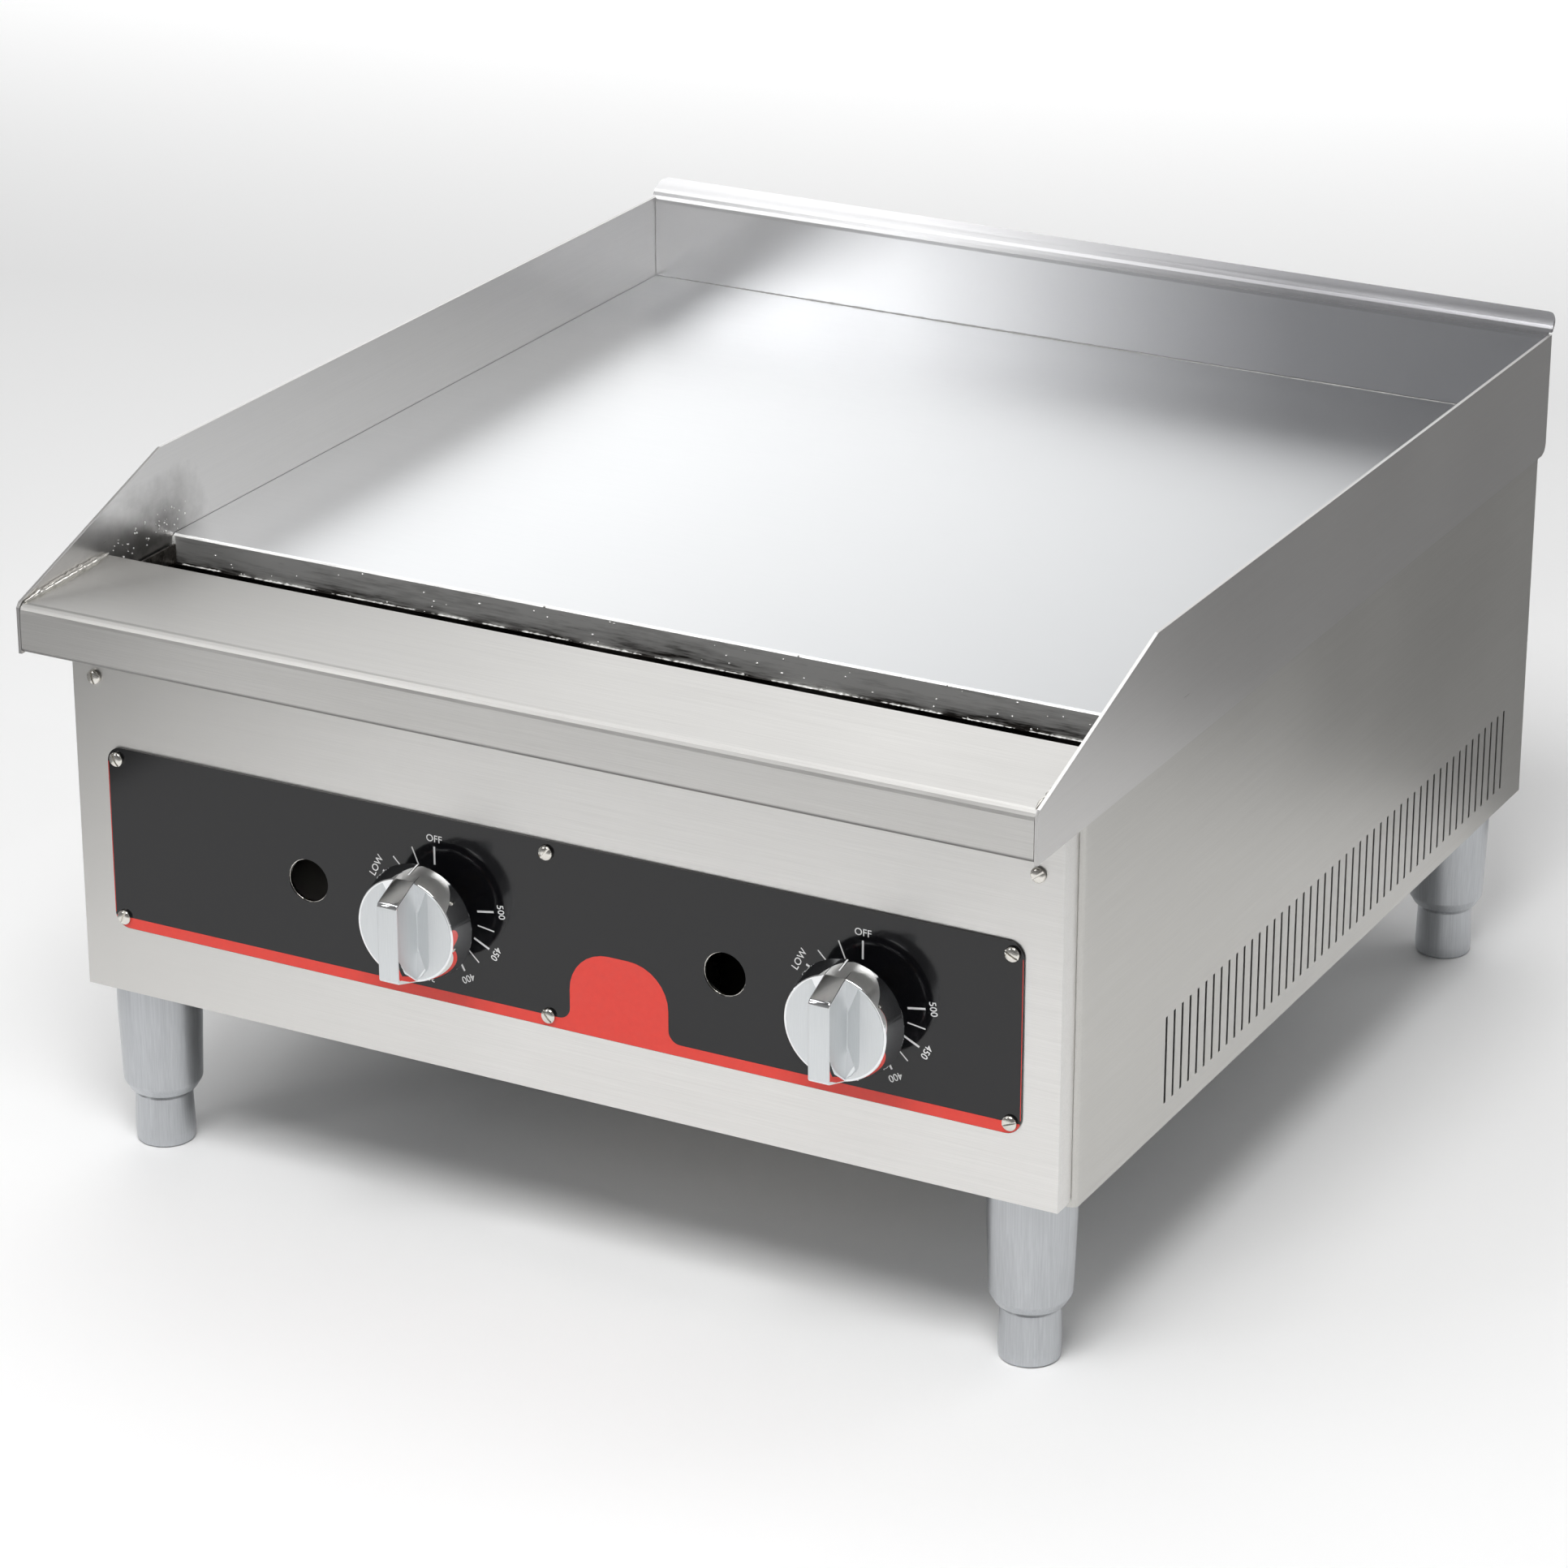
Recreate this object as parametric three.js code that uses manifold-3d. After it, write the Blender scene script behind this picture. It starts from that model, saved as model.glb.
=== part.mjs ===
// A 24 inch countertop gas griddle with a flat steel plate and two thermostat controls.
// Millimetres, +Z up, the front faces -Y. The origin is on the counter under the middle of the griddle.

import * as THREE from "three";
import { mergeVertices } from "three/addons/utils/BufferGeometryUtils.js";
import Module from "manifold-3d";

const wasm = await Module();
wasm.setup();

// ---- Driving dimensions ----
const GAP = 0.3; // clearance between neighbours that touch
const WIDTH = 609.6; // over the splash guards, 24 inch
const DEPTH = 716; // knob faces to the back edge of the rear flange
const LEG_HEIGHT = 101.6; // 4 inch legs

const BACK_Y = DEPTH / 2;
const PANEL_FACE_Y = -308; // front of the control panel
const LIP_Y = PANEL_FACE_Y - 42; // front of the ledge's rolled lip
const LEDGE_BACK_Y = -266.7;
const PLATE_FRONT_Y = -203.7;
const GUARD_BACK_Y = 349;

const LIP_BOTTOM_Z = 313.9;
const LEDGE_FRONT_Z = 341.4;
const LEDGE_BACK_Z = 343.9;
const PLATE_TOP_Z = 335.2;
const PLATE_THICKNESS = 19;
const GUARD_TOP_Z = 388;
const FLANGE_TOP_Z = 398.5;
const BODY_TOP_Z = 313;
const SIDE_BOTTOM_Z = 98;

const HEAVY_SHEET = 1.9; // guards and ledge
const LIGHT_SHEET = 1.2; // body panels

// ---- Body ----
const GUARD_INNER_X = WIDTH / 2 - HEAVY_SHEET;
const SIDE_X = 303.3; // outer face of a side panel
const PANEL_X = 300.4; // half width of the control panel
const PANEL_DEPTH = 15.7;
const SIDE_FRONT_Y = PANEL_FACE_Y + PANEL_DEPTH + GAP;
const SIDE_BACK_Y = 342.6;
const SLOT_COUNT = 49;
const SLOT_PITCH = 10.2;
const SLOT_FIRST_Y = -183;
const SLOT_Z = [111.5, 162];
const SLOT_WIDTH = 2.4;

// ---- Control panel ----
const DIAL_Z = 195;
const KNOB_X = [-69.4, 187.9];
const LIGHTER_X = [-150.4, 106.9]; // pilot lighting holes
const LIGHTER_HOLE_RADIUS = 13;
const STEM_HOLE_RADIUS = 9;
const OVERLAY_HALF_WIDTH = 279.2;
const OVERLAY_Z = [141.4, 249.5];
const OVERLAY_THICKNESS = 0.9;
const OVERLAY_CORNER = 9;
const OVERLAY_SCREW_X = [-273, 0, 273];
const OVERLAY_SCREW_Z = [147.9, 242.6];
const PANEL_SCREW_X = 286;
const PANEL_SCREW_Z = 288.5;

// ---- Knob, depths are measured forward from the panel ----
const KNOB_BACK = 17.6;
const KNOB_FACE = 32.4;
const KNOB_FRONT = 50;
const KNOB_BACK_RADIUS = 32.8;
const KNOB_FACE_RADIUS = 29.1;
const STEM_RADIUS = 3.1;

// ---- Grease path ----
const TROUGH_BOTTOM_Z = 262;
const CHUTE_X = [10, 50];
const CHUTE_Y = [-236, -210];
const TRAY_X = [-77, 177];
const TRAY_Y = [-241, 159];
const TRAY_Z = [66, 98.5];
const TRAY_RIM = 8;

// ---- Burners ----
const BURNER_X = [-128.5, 128.5];
const BURNER_ARM = 48; // half the distance between the two arms of a U burner
const BURNER_RADIUS = 15;
const BURNER_Z = 235;
const FIREWALL_Y = -200.5;
const SHIELD_Z = 178;
const MANIFOLD = { y: -274, z: 150, radius: 13.5 };
const SUPPLY_X = 250; // gas line from the rear inlet to the manifold
const THERMOSTAT_Y = [PANEL_FACE_Y + LIGHT_SHEET + 2, PANEL_FACE_Y + 46];

// ---- Legs ----
const LEG_X = 273;
const LEG_Y = [-280, 304];
const LEG_RADIUS = 24;
const FOOT_RADIUS = 17;
const FOOT_HEIGHT = 32;

// ---- Materials ----
const metal = (color, roughness) => new THREE.MeshStandardMaterial({ color, roughness, metalness: 1 });
const MATERIALS = {
  stainless: metal("#bdbab5", 0.35),
  plate: metal("#d5dade", 0.25),
  chrome: metal("#dfe2e4", 0.08),
  screw: metal("#c9c6bf", 0.25),
  leg: metal("#b4bac0", 0.4),
  galvanised: metal("#9da2a5", 0.5),
  iron: metal("#4a4744", 0.7),
  brass: metal("#b8954a", 0.35),
  aluminium: metal("#b9bcbe", 0.45),
  overlay: new THREE.MeshStandardMaterial({ color: "#38393c", roughness: 0.2, metalness: 0 }),
};

const griddle = new THREE.Group();

function add(name, geometry, material) {
  const mesh = new THREE.Mesh(geometry, MATERIALS[material]);
  mesh.name = name;
  griddle.add(mesh);
}

// ---- Solids ----

function solid(geometry) {
  const bare = geometry.clone();
  bare.deleteAttribute("normal");
  bare.deleteAttribute("uv");
  const merged = mergeVertices(bare, 1e-4);
  const triVerts = new Uint32Array(merged.index.array);
  const vertProperties = new Float32Array(merged.attributes.position.array);
  return new wasm.Manifold(new wasm.Mesh({ numProp: 3, vertProperties, triVerts }));
}

function geometryOf(manifold) {
  const { vertProperties, triVerts } = manifold.getMesh();
  const geometry = new THREE.BufferGeometry();
  geometry.setAttribute("position", new THREE.BufferAttribute(new Float32Array(vertProperties), 3));
  geometry.setIndex(new THREE.BufferAttribute(new Uint32Array(triVerts), 1));
  geometry.computeVertexNormals();
  return geometry;
}

const join = (first, ...rest) => geometryOf(rest.reduce((sum, g) => sum.add(solid(g)), solid(first)));
const cut = (first, ...rest) => geometryOf(rest.reduce((left, g) => left.subtract(solid(g)), solid(first)));

function slab([x0, x1], [y0, y1], [z0, z1]) {
  const box = new THREE.BoxGeometry(x1 - x0, y1 - y0, z1 - z0);
  return box.translate((x0 + x1) / 2, (y0 + y1) / 2, (z0 + z1) / 2);
}

// A round bar from one Y to another, at a given X and Z.
function rodY(x, z, radius, [y0, y1], sides = 16) {
  return new THREE.CylinderGeometry(radius, radius, y1 - y0, sides).translate(x, (y0 + y1) / 2, z);
}

function rodX([x0, x1], y, z, radius, sides = 16) {
  const rod = new THREE.CylinderGeometry(radius, radius, x1 - x0, sides);
  return rod.rotateZ(Math.PI / 2).translate((x0 + x1) / 2, y, z);
}

function rodZ(x, y, radius, [z0, z1], sides = 16) {
  const rod = new THREE.CylinderGeometry(radius, radius, z1 - z0, sides);
  return rod.rotateX(Math.PI / 2).translate(x, y, (z0 + z1) / 2);
}

function extrude(shape, depth, curveSegments = 4) {
  return new THREE.ExtrudeGeometry(shape, { depth, bevelEnabled: false, curveSegments });
}

// A YZ outline extruded along X.
function alongX(shape, [x0, x1], curveSegments) {
  const upright = extrude(shape, x1 - x0, curveSegments).rotateX(Math.PI / 2);
  return upright.rotateZ(Math.PI / 2).translate(x0, 0, 0);
}

// An XZ outline extruded along Y.
function alongY(shape, [y0, y1], curveSegments) {
  return extrude(shape, y1 - y0, curveSegments).rotateX(Math.PI / 2).translate(0, y1, 0);
}

function polygon(points) {
  return new THREE.Shape(points.map(([a, b]) => new THREE.Vector2(a, b)));
}

function roundedRectangle([a0, a1], [b0, b1], radius) {
  const shape = new THREE.Shape();
  shape.moveTo(a0 + radius, b0);
  shape.lineTo(a1 - radius, b0);
  shape.absarc(a1 - radius, b0 + radius, radius, -Math.PI / 2, 0);
  shape.absarc(a1 - radius, b1 - radius, radius, 0, Math.PI / 2);
  shape.absarc(a0 + radius, b1 - radius, radius, Math.PI / 2, Math.PI);
  shape.absarc(a0 + radius, b0 + radius, radius, Math.PI, 1.5 * Math.PI);
  return shape;
}

// Turns a corner list [a, b, bend radius] into a path with each bend as an arc.
function bentPath(corners, steps = 4) {
  const path = [];
  corners.forEach(([a, b, radius = 0], i) => {
    const corner = new THREE.Vector2(a, b);
    if (!radius) {
      path.push(corner);
      return;
    }
    const into = new THREE.Vector2(...corners[i - 1].slice(0, 2)).sub(corner).normalize();
    const out = new THREE.Vector2(...corners[i + 1].slice(0, 2)).sub(corner).normalize();
    const half = Math.acos(into.dot(out)) / 2;
    const start = corner.clone().addScaledVector(into, radius / Math.tan(half));
    const inward = into.clone().add(out).normalize();
    const centre = corner.clone().addScaledVector(inward, radius / Math.sin(half));
    const turn = Math.PI - 2 * half;
    const sign = Math.sign(into.cross(out)) * -1;
    for (let k = 0; k <= steps; k++) {
      path.push(start.clone().rotateAround(centre, (sign * turn * k) / steps));
    }
  });
  return path;
}

// The closed outline of a bent sheet: the path is one face, and the sheet lies on its left.
function bentSheet(corners, thickness) {
  const path = bentPath(corners);
  const side = path.map((point, i) => {
    const before = point.clone().sub(path[Math.max(i - 1, 0)]);
    const after = path[Math.min(i + 1, path.length - 1)].clone().sub(point);
    const a = (before.length() ? before : after).clone().normalize();
    const b = (after.length() ? after : before).clone().normalize();
    const middle = a.clone().add(b).normalize();
    const reach = thickness / middle.dot(a);
    return point.clone().add(new THREE.Vector2(-middle.y, middle.x).multiplyScalar(reach));
  });
  return new THREE.Shape([...path, ...side.reverse()]);
}

// A solid of revolution about the vertical line through x, y. The profile is [radius, z], bottom to top.
function turned(profile, x, y, sides) {
  const points = profile.map(([r, z]) => new THREE.Vector2(r, z));
  return new THREE.LatheGeometry(points, sides).rotateX(Math.PI / 2).translate(x, y, 0);
}

// A solid of revolution about a front-to-back line. The profile is [radius, depth forward of the panel].
function turnedForward(profile, x, z, sides) {
  const points = profile.map(([r, depth]) => new THREE.Vector2(r, depth));
  return new THREE.LatheGeometry(points, sides).rotateX(Math.PI).translate(x, PANEL_FACE_Y, z);
}

function circleShape(radius, sides) {
  const shape = new THREE.Shape();
  for (let i = 0; i < sides; i++) {
    const angle = (2 * Math.PI * i) / sides;
    const [x, y] = [radius * Math.cos(angle), radius * Math.sin(angle)];
    if (i) shape.lineTo(x, y);
    else shape.moveTo(x, y);
  }
  return shape;
}

// A round tube along straight runs whose corners are rounded.
function pipe(points, radius, bend, sides = 8) {
  const path = new THREE.CurvePath();
  const corners = points.map((p) => new THREE.Vector3(...p));
  let from = corners[0];
  for (let i = 1; i < corners.length - 1; i++) {
    const back = corners[i - 1].clone().sub(corners[i]).setLength(bend).add(corners[i]);
    const on = corners[i + 1].clone().sub(corners[i]).setLength(bend).add(corners[i]);
    path.add(new THREE.LineCurve3(from, back));
    path.add(new THREE.QuadraticBezierCurve3(back, corners[i], on));
    from = on;
  }
  path.add(new THREE.LineCurve3(from, corners.at(-1)));
  return new THREE.ExtrudeGeometry(circleShape(radius, sides), { steps: 16, extrudePath: path });
}

// ---- Cooking top ----

function griddlePlate() {
  const chamfer = 1.2;
  const bottom = PLATE_TOP_Z - PLATE_THICKNESS;
  const back = GUARD_BACK_Y - HEAVY_SHEET - GAP;
  const side = GUARD_INNER_X - GAP;
  const section = polygon([
    [PLATE_FRONT_Y, bottom],
    [back, bottom],
    [back, PLATE_TOP_Z],
    [PLATE_FRONT_Y + chamfer, PLATE_TOP_Z],
    [PLATE_FRONT_Y, PLATE_TOP_Z - chamfer],
  ]);
  add("griddle_plate", alongX(section, [-side, side]), "plate");
}

function sideGuard(name, side) {
  const shape = new THREE.Shape();
  const corner = 7;
  shape.moveTo(LIP_Y, BODY_TOP_Z);
  shape.lineTo(GUARD_BACK_Y - corner, BODY_TOP_Z);
  shape.absarc(GUARD_BACK_Y - corner, BODY_TOP_Z + corner, corner, -Math.PI / 2, 0);
  shape.lineTo(GUARD_BACK_Y, GUARD_TOP_Z - 1);
  shape.lineTo(-211.6, GUARD_TOP_Z + 0.7);
  shape.lineTo(LIP_Y + 2, LEDGE_FRONT_Z + 0.6);
  shape.lineTo(LIP_Y, LEDGE_FRONT_Z - 2);
  const x = side < 0 ? -WIDTH / 2 : GUARD_INNER_X;
  add(name, alongX(shape, [x, x + HEAVY_SHEET]), "stainless");
}

function backGuard() {
  const face = GUARD_BACK_Y - HEAVY_SHEET;
  const half = GUARD_INNER_X - GAP;
  const corner = 7;
  const shoulder = GUARD_TOP_Z + 0.5;
  const sheet = bentSheet(
    [
      [GUARD_BACK_Y, BODY_TOP_Z],
      [GUARD_BACK_Y, GUARD_TOP_Z, 10],
      [BACK_Y, FLANGE_TOP_Z - 1],
    ],
    HEAVY_SHEET,
  );
  const front = new THREE.Shape();
  front.moveTo(-half, BODY_TOP_Z - 1);
  front.lineTo(half, BODY_TOP_Z - 1);
  front.lineTo(half, shoulder);
  front.lineTo(WIDTH / 2, shoulder);
  front.absarc(WIDTH / 2 - corner, FLANGE_TOP_Z - corner, corner, 0, Math.PI / 2);
  front.absarc(corner - WIDTH / 2, FLANGE_TOP_Z - corner, corner, Math.PI / 2, Math.PI);
  front.lineTo(-WIDTH / 2, shoulder);
  front.lineTo(-half, shoulder);
  const blank = solid(alongX(sheet, [-WIDTH / 2, WIDTH / 2]));
  const trim = solid(alongY(front, [face - 20, BACK_Y]));
  add("back_splash_guard", geometryOf(blank.intersect(trim)), "stainless");
}

function frontLedge() {
  const hem = 10;
  const half = GUARD_INNER_X - GAP;
  const section = bentSheet(
    [
      [LEDGE_BACK_Y, 318],
      [LEDGE_BACK_Y, LEDGE_BACK_Z, 2.5],
      [LIP_Y, LEDGE_FRONT_Z, 5],
      [LIP_Y, LIP_BOTTOM_Z, 2.5],
      [LIP_Y + hem, LIP_BOTTOM_Z],
    ],
    HEAVY_SHEET,
  );
  add("front_ledge", alongX(section, [-half, half]), "stainless");
}

// ---- Grease path ----

function greaseTrough() {
  const wall = 1.5;
  const half = 301.5;
  const front = LEDGE_BACK_Y + GAP;
  const back = PLATE_FRONT_Y - GAP;
  const plateFoot = PLATE_TOP_Z - PLATE_THICKNESS + 1.8;
  const block = slab([-half, half], [front, back], [TROUGH_BOTTOM_Z, 330]);
  const hollow = slab(
    [-half + wall, half - wall],
    [front + wall, back - wall],
    [TROUGH_BOTTOM_Z + wall, 331],
  );
  const backWallTop = slab([-half - 1, half + 1], [back - wall - 0.1, back + 1], [plateFoot, 331]);
  const drain = slab(
    [CHUTE_X[0] + 3, CHUTE_X[1] - 3],
    [CHUTE_Y[0] + 3, CHUTE_Y[1] - 3],
    [TROUGH_BOTTOM_Z - 1, TROUGH_BOTTOM_Z + 5],
  );
  add("grease_trough", cut(block, hollow, backWallTop, drain), "stainless");
}

function greaseChute() {
  const wall = 1.2;
  const z = [TRAY_Z[1] + 2, TROUGH_BOTTOM_Z - GAP];
  const outer = slab(CHUTE_X, CHUTE_Y, z);
  const inner = slab(
    [CHUTE_X[0] + wall, CHUTE_X[1] - wall],
    [CHUTE_Y[0] + wall, CHUTE_Y[1] - wall],
    [z[0] - 1, z[1] + 1],
  );
  add("grease_chute", cut(outer, inner), "stainless");
}

function greaseTray() {
  const wall = LIGHT_SHEET;
  const body = slab(TRAY_X, TRAY_Y, TRAY_Z);
  const rim = slab(
    [TRAY_X[0] - TRAY_RIM, TRAY_X[1] + TRAY_RIM],
    [TRAY_Y[0] - TRAY_RIM, TRAY_Y[1]],
    [TRAY_Z[1] - wall, TRAY_Z[1]],
  );
  const hollow = slab(
    [TRAY_X[0] + wall, TRAY_X[1] - wall],
    [TRAY_Y[0] + wall, TRAY_Y[1] - wall],
    [TRAY_Z[0] + wall, TRAY_Z[1] + 1],
  );
  add("grease_tray", geometryOf(solid(body).add(solid(rim)).subtract(solid(hollow))), "stainless");
}

function trayRail(name, side) {
  const rimEdge = TRAY_X[1] + TRAY_RIM + 1.4 - (TRAY_X[0] + TRAY_X[1]) / 2;
  const lip = TRAY_Z[1] - LIGHT_SHEET - GAP;
  const top = LEG_HEIGHT - 1.1;
  const section = bentSheet(
    [
      [rimEdge - 8, lip - 1.5],
      [rimEdge + 1.5, lip - 1.5, 2],
      [rimEdge + 1.5, top, 2],
      [rimEdge + 16, top],
    ],
    1.5,
  );
  const rail = alongY(section, [-278, 328]);
  if (side < 0) rail.rotateZ(Math.PI).translate(0, 50, 0);
  add(name, rail.translate((TRAY_X[0] + TRAY_X[1]) / 2, 0, 0), "galvanised");
}

// ---- Body panels ----

function controlPanel() {
  const t = LIGHT_SHEET;
  const z = [LEG_HEIGHT, BODY_TOP_Z - 2.5];
  const y = [PANEL_FACE_Y, PANEL_FACE_Y + PANEL_DEPTH];
  const block = slab([-PANEL_X, PANEL_X], y, z);
  const hollow = slab([t - PANEL_X, PANEL_X - t], [y[0] + t, y[1] + 1], [z[0] + t, z[1] - t]);
  const through = [y[0] - 1, y[0] + t + 1];
  const holes = [
    ...KNOB_X.map((x) => rodY(x, DIAL_Z, STEM_HOLE_RADIUS, through)),
    ...LIGHTER_X.map((x) => rodY(x, DIAL_Z, LIGHTER_HOLE_RADIUS, through, 24)),
    ...overlayScrewPlaces().map(([x, z]) => rodY(x, z, 2.6, through, 8)),
    ...[-PANEL_SCREW_X, PANEL_SCREW_X].map((x) => rodY(x, PANEL_SCREW_Z, 2.6, through, 8)),
  ];
  add("control_panel", cut(block, hollow, ...holes), "stainless");
}

function overlayScrewPlaces() {
  return OVERLAY_SCREW_Z.flatMap((z) => OVERLAY_SCREW_X.map((x) => [x, z]));
}

function controlOverlay() {
  const y = [PANEL_FACE_Y - GAP - OVERLAY_THICKNESS, PANEL_FACE_Y - GAP];
  const outline = roundedRectangle([-OVERLAY_HALF_WIDTH, OVERLAY_HALF_WIDTH], OVERLAY_Z, OVERLAY_CORNER);
  const through = [y[0] - 1, y[1] + 1];
  const holes = [
    ...KNOB_X.map((x) => rodY(x, DIAL_Z, STEM_HOLE_RADIUS, through)),
    ...LIGHTER_X.map((x) => rodY(x, DIAL_Z, LIGHTER_HOLE_RADIUS - 0.4, through, 24)),
    ...overlayScrewPlaces().map(([x, z]) => rodY(x, z, 2.6, through, 8)),
  ];
  add("control_overlay", cut(alongY(outline, y), ...holes), "overlay");
}

// A slotted pan head machine screw. Its head sits on a surface that stands "seat" in front of the panel.
function screw(name, x, z, seat, shank) {
  const head = turnedForward(
    [
      [0, seat - shank],
      [2, seat - shank],
      [2, seat],
      [4.3, seat],
      [4.3, seat + 0.9],
      [3.5, seat + 1.9],
      [1.8, seat + 2.5],
      [0, seat + 2.6],
    ],
    x,
    z,
    10,
  );
  const front = PANEL_FACE_Y - seat;
  const slot = slab([x - 0.6, x + 0.6], [front - 3, front - 1.6], [z - 5, z + 5]);
  add(name, cut(head, slot), "screw");
}

function screws() {
  const overlaySeat = OVERLAY_THICKNESS + 2 * GAP;
  const columns = ["left", "middle", "right"];
  const rows = ["lower", "upper"];
  overlayScrewPlaces().forEach(([x, z], i) => {
    const place = rows[Math.floor(i / 3)] + "_" + columns[i % 3];
    screw("overlay_screw_" + place, x, z, overlaySeat, 8);
  });
  screw("panel_screw_left", -PANEL_SCREW_X, PANEL_SCREW_Z, GAP, 22);
  screw("panel_screw_right", PANEL_SCREW_X, PANEL_SCREW_Z, GAP, 22);
}

function sidePanel(name, side) {
  const t = LIGHT_SHEET;
  const fold = 20;
  const z = [SIDE_BOTTOM_Z, BODY_TOP_Z - GAP];
  const section = bentSheet(
    [
      [SIDE_X - fold, SIDE_FRONT_Y],
      [SIDE_X, SIDE_FRONT_Y, 4],
      [SIDE_X, SIDE_BACK_Y, 2],
      [SIDE_X - fold, SIDE_BACK_Y],
    ],
    t,
  );
  const sheet = solid(extrude(section, z[1] - z[0]).translate(0, 0, z[0]));
  const inside = [SIDE_FRONT_Y + 6, SIDE_BACK_Y - 4];
  const topFlange = slab([SIDE_X - 24, SIDE_X - t / 2], [-190, inside[1]], [z[1] - t, z[1]]);
  const bottomFlange = slab([SIDE_X - 4.5, SIDE_X - t / 2], inside, [z[0], z[0] + t]);
  const legClearance = slab(
    [SIDE_X - fold - 1, SIDE_X - 6],
    [SIDE_FRONT_Y - 1, SIDE_BACK_Y + 1],
    [z[0] - 1, LEG_HEIGHT],
  );
  let panel = sheet.add(solid(topFlange)).add(solid(bottomFlange)).subtract(solid(legClearance));
  for (let i = 0; i < SLOT_COUNT; i++) {
    const y = SLOT_FIRST_Y + i * SLOT_PITCH;
    const slot = slab([SIDE_X - 3, SIDE_X + 1], [y - SLOT_WIDTH / 2, y + SLOT_WIDTH / 2], SLOT_Z);
    panel = panel.subtract(solid(slot));
  }
  const screwHole = rodY(PANEL_SCREW_X, PANEL_SCREW_Z, 2.6, [SIDE_FRONT_Y - 1, SIDE_FRONT_Y + 3], 8);
  const geometry = geometryOf(panel.subtract(solid(screwHole)));
  add(name, side < 0 ? mirrored(geometry) : geometry, "stainless");
}

// The same piece on the other side of the griddle.
function mirrored(geometry) {
  const flipped = geometry.clone().scale(-1, 1, 1);
  const index = flipped.index.array;
  for (let i = 0; i < index.length; i += 3) {
    [index[i + 1], index[i + 2]] = [index[i + 2], index[i + 1]];
  }
  flipped.computeVertexNormals();
  return flipped;
}

function rearPanel() {
  const y = [SIDE_BACK_Y + GAP, SIDE_BACK_Y + GAP + LIGHT_SHEET];
  const through = [y[0] - 1, y[1] + 1];
  const sheet = slab([-SIDE_X + 2, SIDE_X - 2], y, [LEG_HEIGHT, BODY_TOP_Z - 3]);
  const flue = slab([-230, 230], through, [268, 300]);
  const inlet = rodY(SUPPLY_X, MANIFOLD.z, 16, through);
  add("rear_panel", cut(sheet, flue, inlet), "stainless");
}

// ---- Base frame ----

function legRail(name, side) {
  const t = 2;
  const x = [246, 299];
  const block = slab(x, [-290, 338], [LEG_HEIGHT, LEG_HEIGHT + 20]);
  const hollow = slab([x[0] + t, x[1] - t], [-291, 339], [LEG_HEIGHT + t, LEG_HEIGHT + 21]);
  const rail = cut(block, hollow);
  add(name, side < 0 ? mirrored(rail) : rail, "galvanised");
}

function crossRail(name, y) {
  const t = 2;
  const bottom = LEG_HEIGHT + 0.7;
  const base = slab([-245.4, 245.4], y, [bottom, bottom + t]);
  const web = slab([-245.4, 245.4], [y[1] - t, y[1]], [bottom, bottom + 20]);
  add(name, join(base, web), "galvanised");
}

function firewall() {
  const y = [FIREWALL_Y, FIREWALL_Y + LIGHT_SHEET];
  const through = [y[0] - 1, y[1] + 1];
  const sheet = slab([-277, 277], y, [124, BODY_TOP_Z + 2]);
  const lighterZ = [SHIELD_Z + 10, SHIELD_Z + 46];
  const holes = [
    ...BURNER_X.map((x) => rodY(x - BURNER_ARM, BURNER_Z, BURNER_RADIUS + 1, through)),
    ...LIGHTER_X.map((x) => slab([x - 7, x + 24], through, lighterZ)),
    ...KNOB_X.map((x) => rodY(x + 10, 250, 4, through, 8)),
    rodY(SUPPLY_X, MANIFOLD.z, 14, through),
  ];
  add("firewall", cut(sheet, ...holes), "galvanised");
}

// The tray under the burners, with the welded shelf that the closed ends of both burners rest on.
function heatShield() {
  const t = LIGHT_SHEET;
  const y = [FIREWALL_Y + LIGHT_SHEET + GAP, 336];
  const block = slab([-278, 278], y, [SHIELD_Z, SHIELD_Z + 14]);
  const hollow = slab([t - 278, 278 - t], [y[0] - 1, y[1] + 1], [SHIELD_Z + t, SHIELD_Z + 15]);
  const shelfTop = BURNER_Z - BURNER_RADIUS - GAP;
  const web = slab([-200, 200], [200, 202], [SHIELD_Z + t / 2, shelfTop]);
  const shelf = slab([-200, 200], [200, 214], [shelfTop - 2, shelfTop]);
  const pan = solid(block).subtract(solid(hollow));
  add("heat_shield", geometryOf(pan.add(solid(web)).add(solid(shelf))), "galvanised");
}

function plateSupport(name, side) {
  const z = [BODY_TOP_Z, PLATE_TOP_Z - PLATE_THICKNESS - GAP];
  const bar = slab([277, GUARD_INNER_X - GAP], [-188, 338], z);
  add(name, side < 0 ? mirrored(bar) : bar, "iron");
}

// ---- Burners and gas train ----

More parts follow.
